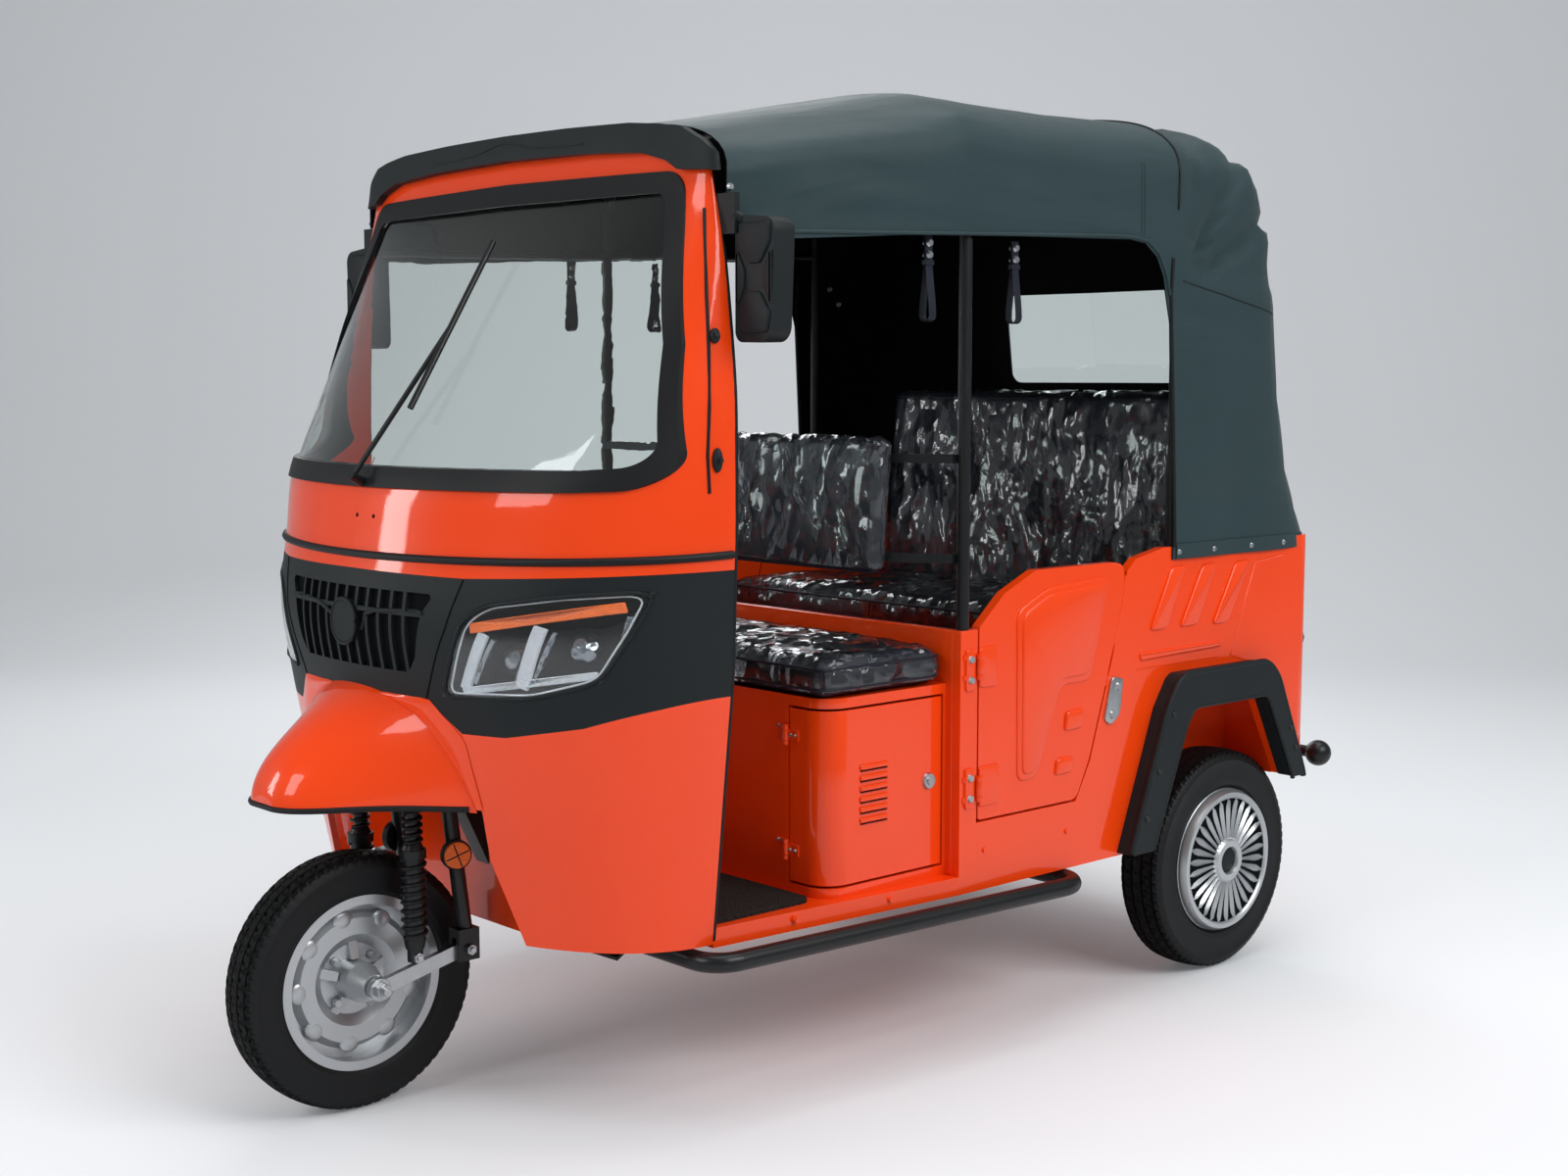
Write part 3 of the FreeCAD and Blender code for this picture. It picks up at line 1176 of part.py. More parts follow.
NODES = {
    "chassis_frame": chassis_frame,
    "floor_pan": floor_pan,
    "splash_panel": splash_panel,
    "wheel_well": wheel_well,
    "front_cowl": front_cowl,
    "cab_frame": cab_frame,
    "fascia": fascia,
    "grille": grille,
    "headlamp_lenses": headlamp_lenses,
    "headlamp_bowls": headlamp_bowls,
    "windscreen_seal": windscreen_seal,
    "windscreen": windscreen,
    "visor": visor,
    "front_fender": front_fender,
    "dashboard": dashboard,
    "seat_box": seat_box,
    "seat_box_door": seat_box_door,
    "engine_block": engine_block,
    "driver_cushion": driver_cushion,
    "driver_backrest": driver_backrest,
    "backrest_frame": backrest_frame,
    "partition": partition,
    "side_panels": side_panels,
    "tail_panel": tail_panel,
    "wheel_flares": wheel_flares,
    "wheel_housings": wheel_housings,
    "bench_base": bench_base,
    "passenger_cushion": passenger_cushion,
    "passenger_backrest": passenger_backrest,
    "canopy": canopy,
    "rear_window": rear_window,
    "canopy_frame": canopy_frame,
    "mirrors": mirrors,
    "mirror_glasses": lambda: pair(mirror_glass()),
    "step_tubes": step_tubes,
    "wiper": wiper,
    "grab_straps": grab_straps,
    "tail_lamps": tail_lamps,
    "rear_bumper": rear_bumper,
    "rear_axle": rear_axle,
    "leaf_springs": leaf_springs,
    "steering_fork": steering_fork,
    "suspension_links": suspension_links,
    "shock_absorbers": shock_absorbers,
    "front_tyre": front_tyre,
    "front_rim": front_rim,
    "rear_tyre_left": rear_tyre,
    "rear_rim_left": rear_rim,
    "rear_tyre_right": lambda: mirrored(rear_tyre()),
    "rear_rim_right": lambda: mirrored(rear_rim()),
    "door_left": door,
    "door_right": lambda: mirrored(door()),
}


def main():
    os.makedirs("parts", exist_ok=True)
    for name, make in NODES.items():
        shape = make()
        print(name, len(shape.Solids), round(shape.Volume / 1000), shape.isValid(), flush=True)
        shape.exportStep("parts/%s.step" % name)


if __name__ == "__main__":
    main()
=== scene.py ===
import math

import bmesh
import bpy
from bpy.props import FloatProperty, FloatVectorProperty, IntProperty, PointerProperty
from mathutils import Matrix, Vector, noise
from mathutils.bvhtree import BVHTree


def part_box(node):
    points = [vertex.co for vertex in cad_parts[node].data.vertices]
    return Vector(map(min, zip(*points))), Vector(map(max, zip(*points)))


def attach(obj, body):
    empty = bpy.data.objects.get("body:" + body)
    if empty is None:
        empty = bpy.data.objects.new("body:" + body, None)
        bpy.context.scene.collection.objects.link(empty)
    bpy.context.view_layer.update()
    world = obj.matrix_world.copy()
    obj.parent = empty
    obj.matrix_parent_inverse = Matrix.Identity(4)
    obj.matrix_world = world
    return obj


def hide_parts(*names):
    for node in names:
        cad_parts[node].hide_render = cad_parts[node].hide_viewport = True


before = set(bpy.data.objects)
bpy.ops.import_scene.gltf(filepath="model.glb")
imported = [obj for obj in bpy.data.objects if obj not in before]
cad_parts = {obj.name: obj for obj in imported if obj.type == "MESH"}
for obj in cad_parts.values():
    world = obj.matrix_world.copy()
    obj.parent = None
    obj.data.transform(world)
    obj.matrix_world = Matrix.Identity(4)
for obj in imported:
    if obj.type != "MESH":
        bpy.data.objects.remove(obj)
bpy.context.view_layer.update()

bl_info = {
    "name": "Auto rickshaw dressing",
    "version": (1, 0, 0),
    "blender": (4, 5, 0),
    "location": "View3D > Sidebar > Rickshaw",
    "description": "Finishes and fine pieces for a three-wheeled passenger auto rickshaw",
    "category": "Object",
}

# The front axle stands this far ahead of the middle of the vehicle; stations are measured behind it
FRONT_TYRE_LOW, FRONT_TYRE_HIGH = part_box("front_tyre")
AXLE_X = (FRONT_TYRE_LOW.x + FRONT_TYRE_HIGH.x) / 2
FRONT_R = (FRONT_TYRE_HIGH.z - FRONT_TYRE_LOW.z) / 2
REAR_LOW, REAR_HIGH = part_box("rear_tyre_left")
REAR_X = (REAR_LOW.x + REAR_HIGH.x) / 2
REAR_Y = (REAR_LOW.y + REAR_HIGH.y) / 2
REAR_R = (REAR_HIGH.z - REAR_LOW.z) / 2
FLANK_Y = 0.600
SIDES = ((1, "left"), (-1, "right"))
AFT, AHEAD, UP = Vector((-1, 0, 0)), Vector((1, 0, 0)), Vector((0, 0, 1))

# Finishes, each named for what the real one is; the matt black lining also serves as painted shade in hollows
PAINT, CHASSIS = "baked enamel, sprayed", "chassis paint, brushed on"
PLASTIC, RUBBER = "polypropylene, moulded", "rubber, extruded"
GLASS, COVER, FILM = "safety glass, bent", "polycarbonate, moulded", "polythene film, crinkled"
RED, AMBER, GUIDE = "acrylic, red moulded", "acrylic, amber moulded", "light guide, frosted acrylic"
CHROME, IRON, MIRROR = "reflector, metallised", "iron, sand cast", "mirror, silvered"
HIDE, CANVAS, LINING_AND_SHADE = "leathercloth, embossed", "canvas, rubber coated", "lining, matt black"
ZINC, LACQUER = "steel, zinc plated", "wheel lacquer, silver flake"
TYRE, TREAD, MAT = "tyre rubber, vulcanised", "tyre tread, vulcanised", "floor mat, looped"
STUDIO = "studio floor, matt"

# Material slot named for each finish, unless a call names another; finish_piece looks it up but gives it to no piece
SLOTS = {PAINT: "body_paint", CHASSIS: "frame_black", PLASTIC: "plastic_black", RUBBER: "rubber_black",
         FILM: "lamp_glass", AMBER: "lamp_red", GUIDE: "lamp_glass", CHROME: "lamp_glass", HIDE: "seat_vinyl",
         CANVAS: "canvas", LINING_AND_SHADE: "plastic_black", ZINC: "bright_steel", LACQUER: "wheel_silver",
         TYRE: "tyre_rubber", MAT: "rubber_black"}


def at(station, y, z):
    """Point a station behind the front axle, with all three in millimetres."""
    return Vector((AXLE_X - station / 1000, y / 1000, z / 1000))


def linear(hex_colour):
    """An sRGB hex colour as linear red, green, blue and alpha."""
    values = [int(hex_colour[i:i + 2], 16) / 255 for i in (1, 3, 5)]
    return tuple(v / 12.92 if v <= 0.04045 else ((v + 0.055) / 1.055) ** 2.4 for v in values) + (1.0,)


# ---------------------------------------------------------------- sizes and colours

class RickshawSizes(bpy.types.PropertyGroup):
    """Sizes of the fine pieces."""
    tread_depth: FloatProperty(name="Tread depth", description="Depth of the tyres' grooves",
                               default=0.006, min=0.002, max=0.012, unit="LENGTH")
    spokes: IntProperty(name="Hubcap spokes", description="Leaf spokes on each rear wheel cover",
                        default=30, min=12, max=40)
    rib_height: FloatProperty(name="Rib height", description="Height of the pressed ribs on the flanks",
                              default=0.006, min=0.001, max=0.01, unit="LENGTH")
    crinkle: FloatProperty(name="Film crinkle", description="Depth of the creases in the seats' clear film",
                           default=0.003, min=0.0, max=0.02, unit="LENGTH")
    canvas_sag: FloatProperty(name="Canvas sag", description="How far the canvas dips between its bows",
                              default=0.005, min=0.0, max=0.02, unit="LENGTH")


class RickshawColours(bpy.types.PropertyGroup):
    """Colours of the main finishes."""
    paint: FloatVectorProperty(name="Paint", description="Body enamel", subtype="COLOR", size=4,
                               default=linear("#F04309"), min=0, max=1)
    canvas: FloatVectorProperty(name="Canvas", description="Coated canvas of the roof", subtype="COLOR",
                                size=4, default=linear("#22363A"), min=0, max=1)
    plastic: FloatVectorProperty(name="Plastic", description="Moulded nose panel, flares and peak",
                                 subtype="COLOR", size=4, default=linear("#171D1F"), min=0, max=1)
    vinyl: FloatVectorProperty(name="Seat vinyl", description="Seat covers under the film",
                               subtype="COLOR", size=4, default=linear("#0D1422"), min=0, max=1)
    wheel: FloatVectorProperty(name="Wheel silver", description="Painted wheels and covers",
                               subtype="COLOR", size=4, default=linear("#B9BDC0"), min=0, max=1)


# ---------------------------------------------------------------- materials

MATERIALS = {}


def node(tree, kind, settings=None, links=None):
    """Adds a node, sets its properties and sockets, and links its inputs."""
    made = tree.nodes.new(kind)
    for key, value in (settings or {}).items():
        if isinstance(key, str) and hasattr(made, key):
            setattr(made, key, value)
        else:
            made.inputs[key].default_value = value
    for key, source in (links or {}).items():
        tree.links.new(source, made.inputs[key])
    return made


def bumped(tree, shader, height, depth, socket="Normal"):
    """Leads a height into the shader as a bump depth metres deep."""
    bump = node(tree, "ShaderNodeBump", {"Distance": depth}, {"Height": height})
    tree.links.new(bump.outputs["Normal"], shader.inputs[socket])
    return bump


def surfaced(tree, source):
    """Makes a shader the surface of its material."""
    tree.links.new(source, tree.nodes["Material Output"].inputs["Surface"])


def material(name, shader_settings):
    """New material with its own shader; gives its tree, the shader and Object coordinates."""
    mat = bpy.data.materials.new(name)
    mat.use_nodes = True
    tree = mat.node_tree
    shader = tree.nodes["Principled BSDF"]
    for key, value in shader_settings.items():
        shader.inputs[key].default_value = value
    MATERIALS[name] = mat
    return tree, shader, node(tree, "ShaderNodeTexCoord").outputs["Object"]


def finish(name, colour, amount, scale, settings, grain=None, worn=None, relief=None, detail=3.0):
    """Finish whose colour varies by amount over patches of 1/scale metres, over a surface that may have a grain of
    (scale, depth, socket), a roughness that wanders as (low, high, scale), and a relief drawn by a texture node as
    (kind, settings, output, depth)."""
    tree, shader, place = material(name, settings)
    patches = node(tree, "ShaderNodeTexNoise", {"Scale": scale, "Detail": detail}, {"Vector": place})
    dark = tuple(c * (1 - amount) for c in colour[:3]) + (1.0,)
    light = tuple(min(1.0, c * (1 + amount)) for c in colour[:3]) + (1.0,)
    blend = node(tree, "ShaderNodeMix", {"data_type": "RGBA", 6: dark, 7: light}, {0: patches.outputs["Fac"]})
    tree.links.new(blend.outputs[2], shader.inputs["Base Color"])
    if grain:
        fine = node(tree, "ShaderNodeTexNoise", {"Scale": grain[0], "Detail": 2.0}, {"Vector": place})
        bumped(tree, shader, fine.outputs["Fac"], *grain[1:])
    if worn:
        low, high, smear_scale = worn
        smear = node(tree, "ShaderNodeTexNoise", {"Scale": smear_scale, "Detail": 4.0}, {"Vector": place})
        span = node(tree, "ShaderNodeMapRange", {"To Min": low, "To Max": high}, {"Value": smear.outputs["Fac"]})
        tree.links.new(span.outputs["Result"], shader.inputs["Roughness"])
    if relief:
        kind, options, output, depth = relief
        pattern = node(tree, "ShaderNodeTex" + kind, options, {"Vector": place})
        bumped(tree, shader, pattern.outputs[output], depth)
    return tree, shader, place


def cells(scale, depth):
    """Relief of small round cells, 1/scale metres apart."""
    return "Voronoi", {"Scale": scale}, "Distance", depth


def make_materials(colours):
    """All the finishes."""
    # Baked enamel on pressed steel: deep colour under a hard gloss, with a faint orange peel about 4 mm across
    finish(PAINT, tuple(colours.paint), 0.04, 3.0, {
        "Specular IOR Level": 0.1, "Coat Weight": 0.75, "Coat Roughness": 0.04},
        grain=(240.0, 0.00004, "Coat Normal"), worn=(0.26, 0.36, 9.0))

    # Semi-gloss chassis paint over tube and strip: black with a soft sheen and dusty patches spread at random
    finish(CHASSIS, linear("#0E1012"), 0.25, 14.0, {
        "Specular IOR Level": 0.3, "Coat Weight": 0.15, "Coat Roughness": 0.15},
        grain=(350.0, 0.0001), worn=(0.28, 0.5, 20.0))

    # Polypropylene, injection moulded: dull black with a spark-eroded grain about 1.5 mm across
    finish(PLASTIC, tuple(colours.plastic), 0.08, 6.0, {"IOR": 1.49, "Specular IOR Level": 0.22},
           grain=(650.0, 0.00035), worn=(0.44, 0.58, 7.0))

    # Extruded rubber: near-black, waxy, very fine grain
    finish(RUBBER, linear("#131416"), 0.12, 10.0, {"Roughness": 0.5, "IOR": 1.52, "Specular IOR Level": 0.22},
           grain=(500.0, 0.0001))

    # Float glass, bent: a faint green body, sharp reflections, and light passes through it to the cab
    clear_sheet(GLASS, "#EAF3F0", 0.0, 1.45)
    # Polycarbonate lamp cover, moulded: clear and hard coated
    clear_sheet(COVER, "#FBFDFF", 0.02, 1.5)
    # Polythene film, blown: soft wrinkles 10 to 40 mm long that catch white streaks of light
    film_sheet(FILM)

    # Red acrylic, moulded: clear red with prism ribs 6 mm apart behind the face
    finish(RED, linear("#A80F12"), 0.1, 30.0, {
        "Roughness": 0.12, "IOR": 1.49, "Coat Weight": 0.6, "Coat Roughness": 0.03},
        relief=("Wave", {"bands_direction": "Z", "Scale": 26.0}, "Fac", 0.0015))

    # Amber acrylic, moulded: turn lamp strip and reflectors
    finish(AMBER, linear("#E2661C"), 0.12, 60.0, {
        "Roughness": 0.2, "IOR": 1.49, "Coat Weight": 0.6, "Coat Roughness": 0.04}, relief=cells(260.0, 0.0008))

    # Light guide, milky acrylic with tiny pits 5 mm apart: bright grey-white even unlit
    finish(GUIDE, linear("#B9BDC1"), 0.12, 120.0, {
        "Roughness": 0.25, "IOR": 1.49, "Coat Weight": 0.8, "Coat Roughness": 0.03, "Subsurface Weight": 0.3,
        "Subsurface Scale": 0.004}, relief=cells(200.0, 0.001))

    # Vacuum-metallised reflector: dark smoked chrome
    finish(CHROME, linear("#8C9196"), 0.1, 20.0, {"Metallic": 1.0, "Roughness": 0.16}, relief=cells(60.0, 0.004))

    # Cast iron engine: dull grey with sand-cast lumps 3 mm across
    finish(IRON, linear("#5A5C5E"), 0.2, 12.0, {"Metallic": 0.7, "Roughness": 0.6}, grain=(320.0, 0.0006))

    # PVC leathercloth, embossed: dark blue-black with a hide grain 1.5 mm across under a soft gloss
    finish(HIDE, tuple(colours.vinyl), 0.18, 8.0, {"Roughness": 0.42, "IOR": 1.5, "Specular IOR Level": 0.3},
           relief=cells(620.0, 0.0004))

    # PVC-coated canvas: green-black, plain weave drawn at 3 mm so that it shows, with slack wrinkles a hand wide
    tree, shader, place = finish(CANVAS, tuple(colours.canvas), 0.12, 5.0, {
        "IOR": 1.48, "Specular IOR Level": 0.28, "Sheen Weight": 0.05, "Sheen Roughness": 0.5},
        worn=(0.42, 0.6, 4.0))
    weave = node(tree, "ShaderNodeTexNoise", {"Scale": 420.0, "Detail": 2.0}, {"Vector": place})
    fine = node(tree, "ShaderNodeBump", {"Distance": 0.0004}, {"Height": weave.outputs["Fac"]})
    stretch = node(tree, "ShaderNodeMapping", {"Scale": (1.2, 5.0, 5.0)}, {"Vector": place})
    folds = node(tree, "ShaderNodeTexNoise", {"Scale": 1.4, "Detail": 2.5, "Distortion": 0.6},
                 {"Vector": stretch.outputs["Vector"]})
    wide = bumped(tree, shader, folds.outputs["Fac"], 0.02)
    wide.inputs["Strength"].default_value = 0.6
    tree.links.new(fine.outputs["Normal"], wide.inputs["Normal"])

    # Silvered mirror glass
    finish(MIRROR, linear("#D9DDE0"), 0.03, 5.0, {"Metallic": 1.0, "Roughness": 0.03})

    # Zinc-plated steel: bolts, axle nuts and links, grey with fine machining marks
    finish(ZINC, linear("#B4B7BA"), 0.12, 60.0, {"Metallic": 1.0, "Roughness": 0.32}, grain=(900.0, 0.0001))

    # Wheel lacquer: silver flake under clear, satin
    finish(LACQUER, tuple(colours.wheel), 0.1, 900.0, {
        "Metallic": 0.75, "Roughness": 0.36, "Coat Weight": 0.3, "Coat Roughness": 0.15},
        grain=(300.0, 0.00008), detail=0.0)

    # Tyre rubber, vulcanised: matt black with a faint bloom and mould-fine ribs
    finish(TYRE, linear("#101214"), 0.18, 16.0, {"Roughness": 0.55, "IOR": 1.5, "Specular IOR Level": 0.25},
           grain=(500.0, 0.00025))

    # Tread: the same rubber with zigzag sipes 14 mm apart, laid along the piece's own map
    tree, shader, place = finish(TREAD, linear("#0F1112"), 0.2, 16.0, {
        "Roughness": 0.6, "IOR": 1.5, "Specular IOR Level": 0.2})
    unrolled = node(tree, "ShaderNodeUVMap", {"uv_map": "tread"})
    sipes = node(tree, "ShaderNodeTexWave", {"wave_profile": "SIN", "Scale": 11.5, "Distortion": 2.5, "Detail": 0.0,
                                             "Detail Scale": 9.0}, {"Vector": unrolled.outputs["UV"]})
    cut = node(tree, "ShaderNodeMapRange", {"From Min": 0.0, "From Max": 0.35}, {"Value": sipes.outputs["Fac"]})
    bumped(tree, shader, cut.outputs["Result"], 0.005)

    # Floor mat, coir-look PVC: brown-black loops about 6 mm across
    finish(MAT, linear("#241F1C"), 0.45, 160.0, {"Roughness": 0.8, "IOR": 1.5, "Specular IOR Level": 0.15},
           relief=cells(170.0, 0.004))

    # Inside of the canvas, matt black; the same near-black is painted shade in unlit hollows: grille, louvres, badge
    # holes, lamps and wheel covers
    finish(LINING_AND_SHADE, linear("#090B0E"), 0.2, 10.0, {"Roughness": 0.85, "IOR": 1.45, "Specular IOR Level": 0.1},
           grain=(300.0, 0.0003))

    # Studio sweep: plain pale matt floor, which a straight look or a look through glass sees a little lighter
    tree, shader, place = finish(STUDIO, linear("#DBDEE1"), 0.01, 0.6, {"Roughness": 0.75, "IOR": 1.4})
    ray = node(tree, "ShaderNodeLightPath")
    seen = node(tree, "ShaderNodeMath", {"operation": "MAXIMUM"}, {0: ray.outputs["Is Camera Ray"],
                                                                  1: ray.outputs["Is Transmission Ray"]})
    lift = node(tree, "ShaderNodeMath", {"operation": "MULTIPLY", 1: 0.10}, {0: seen.outputs["Value"]})
    glow = node(tree, "ShaderNodeEmission", {"Color": linear("#F4F7FA")}, {"Strength": lift.outputs["Value"]})
    both = node(tree, "ShaderNodeAddShader", {}, {0: shader.outputs["BSDF"], 1: glow.outputs["Emission"]})
    surfaced(tree, both.outputs["Shader"])


def facets(tree, place, scale, lean):
    """Height of crumpled facets, each leaning its own way, about 1/scale metres across."""
    faces = node(tree, "ShaderNodeTexVoronoi", {"Scale": scale}, {"Vector": place})
    across = node(tree, "ShaderNodeVectorMath", {"operation": "SUBTRACT"}, {0: place, 1: faces.outputs["Position"]})
    tilt = node(tree, "ShaderNodeVectorMath", {"operation": "SUBTRACT", 1: (0.5, 0.5, 0.5)},
                {0: faces.outputs["Color"]})
    height = node(tree, "ShaderNodeVectorMath", {"operation": "DOT_PRODUCT"},
                  {0: across.outputs["Vector"], 1: tilt.outputs["Vector"]})
    return node(tree, "ShaderNodeMath", {"operation": "MULTIPLY", 1: lean}, {0: height.outputs["Value"]})


def film_sheet(name):
    """Thin loose film: clear face on, with mirror-like facets between creases that run mostly up and down."""
    tree, shader, place = material(name, {"Base Color": linear("#DDE3EA"), "Roughness": 0.3, "IOR": 1.5})
    stretch = node(tree, "ShaderNodeMapping", {"Scale": (0.8, 1.0, 0.27)}, {"Vector": place})
    swirl = node(tree, "ShaderNodeTexNoise", {"Scale": 5.0, "Detail": 2.0}, {"Vector": place})
    bent = node(tree, "ShaderNodeVectorMath", {"operation": "SUBTRACT", 1: (0.5, 0.5, 0.5)},
                {0: swirl.outputs["Color"]})
    small = node(tree, "ShaderNodeVectorMath", {"operation": "SCALE", "Scale": 0.11}, {0: bent.outputs["Vector"]})
    warped = node(tree, "ShaderNodeVectorMath", {"operation": "ADD"},
                  {0: stretch.outputs["Vector"], 1: small.outputs["Vector"]})
    wide = facets(tree, warped.outputs["Vector"], 13.0, 0.6)
    fine = facets(tree, warped.outputs["Vector"], 44.0, 0.8)
    height = node(tree, "ShaderNodeMath", {"operation": "ADD"}, {0: wide.outputs["Value"], 1: fine.outputs["Value"]})
    bump = bumped(tree, shader, height.outputs["Value"], 1.0)
    through = node(tree, "ShaderNodeBsdfTransparent", {"Color": linear("#FAFCFF")})
    hazed = node(tree, "ShaderNodeMixShader", {0: 0.02}, {1: through.outputs["BSDF"], 2: shader.outputs["BSDF"]})
    rim = node(tree, "ShaderNodeFresnel", {"IOR": 1.5}, {"Normal": bump.outputs["Normal"]})
    share = node(tree, "ShaderNodeMapRange", {"From Min": 0.0, "From Max": 1.0, "To Min": 0.015, "To Max": 1.0},
                 {"Value": rim.outputs["Fac"]})
    glint = node(tree, "ShaderNodeBsdfGlossy", {"Roughness": 0.13, "Color": linear("#F6F8FA")},
                 {"Normal": bump.outputs["Normal"]})
    both = node(tree, "ShaderNodeMixShader", {}, {0: share.outputs["Result"], 1: hazed.outputs["Shader"],
                                                  2: glint.outputs["BSDF"]})
    surfaced(tree, both.outputs["Shader"])


def clear_sheet(name, tint, roughness, ior):
    """Clear sheet that reflects by its angle and lets light and shadow rays pass."""
    tree, shader, _ = material(name, {
        "Base Color": linear(tint), "Roughness": roughness, "IOR": ior, "Transmission Weight": 1.0})
    ray = node(tree, "ShaderNodeLightPath")
    through = node(tree, "ShaderNodeBsdfTransparent", {"Color": linear(tint)})
    mix = node(tree, "ShaderNodeMixShader", {}, {0: ray.outputs["Is Shadow Ray"], 1: shader.outputs["BSDF"],
                                                 2: through.outputs["BSDF"]})
    surfaced(tree, mix.outputs["Shader"])


# ---------------------------------------------------------------- shaping helpers

def finish_piece(name, bm, mats, smooth=40.0, bevel=0.0, body="body", slot=None):
    """Turns a bmesh into a piece: its finishes, smoothing and body. Its slot is looked up but given to nothing."""
    mats = [mats] if isinstance(mats, str) else mats
    slot = slot or SLOTS[mats[0]]
    bmesh.ops.remove_doubles(bm, verts=bm.verts, dist=0.00001)
    bmesh.ops.recalc_face_normals(bm, faces=bm.faces)
    mesh = bpy.data.meshes.new(name)
    bm.to_mesh(mesh)
    bm.free()
    piece = bpy.data.objects.new(name, mesh)
    bpy.context.scene.collection.objects.link(piece)
    for mat in mats:
        mesh.materials.append(MATERIALS[mat])
    if bevel:
        round_edges(piece, bevel, 2, 35)
    mesh.set_sharp_from_angle(angle=math.radians(smooth))
    for face in mesh.polygons:
        face.use_smooth = True
    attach(piece, body)
    return piece


def round_edges(piece, width, segments, angle):
    """Rounds the edges of a piece that are sharper than an angle in degrees."""
    edges = piece.modifiers.new("edges", "BEVEL")
    edges.width = width
    edges.segments = segments
    edges.limit_method = "ANGLE"
    edges.angle_limit = math.radians(angle)
    return edges


def facing(way):
    """Turn that lays the Z axis along a direction."""
    return way.to_track_quat("Z", "Y").to_matrix().to_4x4()


def spin(share):
    """Turn about the axle direction by a share of a full circle."""
    return Matrix.Rotation(math.tau * share, 4, "Y")


def add_box(bm, low, high):
    """Block between two corners."""
    low, high = Vector(low), Vector(high)
    place = Matrix.Translation((low + high) / 2) @ Matrix.Diagonal((*(high - low), 1.0))
    return bmesh.ops.create_cube(bm, size=1.0, matrix=place)["verts"]


def add_rod(bm, start, end, radius, sides=16, tip=None):
    """Round bar or cone from start to end."""
    along = end - start
    place = Matrix.Translation((start + end) / 2) @ facing(along)
    return bmesh.ops.create_cone(bm, cap_ends=True, cap_tris=False, segments=sides, radius1=radius,
                                 radius2=radius if tip is None else tip, depth=along.length, matrix=place)["verts"]


def add_stud(bm, foot, way, radius, sides=16, tip=None):
    """Round stud that rises from its foot by a vector."""
    return add_rod(bm, foot, foot + Vector(way), radius, sides, tip)


def add_ball(bm, place, radius, across, along):
    """Ball at a place, made of so many segments across and along."""
    bmesh.ops.create_uvsphere(bm, u_segments=across, v_segments=along, radius=radius, matrix=place)


def add_bead(bm, points, radius, sides=8, closed=False):
    """Round bead along points, with mitred turns."""
    points = [Vector(p) for p in points]
    count = len(points)
    rings = []
    for i, p in enumerate(points):
        before = points[i - 1] if i or closed else p
        after = points[(i + 1) % count] if i < count - 1 or closed else p
        place = Matrix.Translation(p) @ facing((after - before).normalized())
        rings.append(bmesh.ops.create_circle(bm, cap_ends=False, segments=sides, radius=radius,
                                             matrix=place)["verts"])
    for pair in list(zip(rings, rings[1:])) + ([(rings[-1], rings[0])] if closed else []):
        edges = [bm.edges.get((ring[i - 1], ring[i])) for ring in pair for i in range(sides)]
        bmesh.ops.bridge_loops(bm, edges=[edge for edge in edges if edge])
    if not closed:
        bm.faces.new(rings[0])
        bm.faces.new(list(reversed(rings[-1])))


def extruded(bm, geom):
    """Extrudes faces in place and gives the new geometry and its vertices."""
    grown = bmesh.ops.extrude_face_region(bm, geom=geom)["geom"]
    return grown, [g for g in grown if isinstance(g, bmesh.types.BMVert)]


def add_plate(bm, outline, place, thickness, bevel=0.0, segments=2):
    """Flat plate: an outline of (u, v) laid by place(u, v), thickened along its normal."""
    face = bm.faces.new([bm.verts.new(place(u, v)) for u, v in outline])
    face.normal_update()
    normal = face.normal.copy()
    grown, top = extruded(bm, [face])
    bmesh.ops.translate(bm, verts=top, vec=normal * thickness)
    if bevel:
        edges = list({e for f in grown if isinstance(f, bmesh.types.BMFace) for e in f.edges})
        bmesh.ops.bevel(bm, geom=edges, offset=bevel, affect="EDGES", segments=segments, profile=0.5, material=-1)


def fill_rows(bm, rows, keep=None):
    """Faces between rows of vertices, less those that keep(corners) turns down."""
    faces = []
    for a, b in zip(rows, rows[1:]):
        for j in range(len(a) - 1):
            corners = (a[j], a[j + 1], b[j + 1], b[j])
            if keep is None or keep(corners):
                faces.append(bm.faces.new(corners))
    return faces


def rounded(points, radius, steps=5):
    """Outline with its corners rounded by radius."""
    result = []
    count = len(points)
    for i in range(count):
        p = Vector(points[i])
        a = Vector(points[i - 1]) - p
        b = Vector(points[(i + 1) % count]) - p
        cut = min(radius, a.length * 0.45, b.length * 0.45)
        start = p + a.normalized() * cut
        end = p + b.normalized() * cut
        for k in range(steps + 1):
            t = k / steps
            q = start * (1 - t) ** 2 + p * 2 * t * (1 - t) + end * t ** 2
            result.append((q.x, q.y))
    return result


def rectangle(u0, v0, u1, v1):
    """Corners of a rectangle, in turn."""
    return [(u0, v0), (u1, v0), (u1, v1), (u0, v1)]


def on_flank(side, proud=0.0, y=FLANK_Y):
    """Placing function for outlines of (station, z) in millimetres on a plane beside the vehicle on that side."""
    return lambda u, v: Vector((AXLE_X - u / 1000, side * (y + proud), v / 1000))


def outward(outline, side):
    """The outline in the order whose face points away from the vehicle on that side."""
    area = sum(a[0] * b[1] - b[0] * a[1] for a, b in zip(outline, outline[1:] + outline[:1]))
    return outline if area * side > 0 else list(reversed(outline))


def turned_about_axle(bm, profile, centre, steps, side=1):
    """Closed ring: a profile of (radius, offset) spun about the axle direction through centre."""
    verts = [bm.verts.new(Vector((centre.x, centre.y + side * v, centre.z + r))) for r, v in profile]
    edges = [bm.edges.new((verts[i - 1], verts[i])) for i in range(len(verts))]
    bmesh.ops.spin(bm, geom=verts + edges, cent=centre, axis=(0, 1, 0), angle=math.tau, steps=steps,
                   use_merge=True, use_duplicate=False)


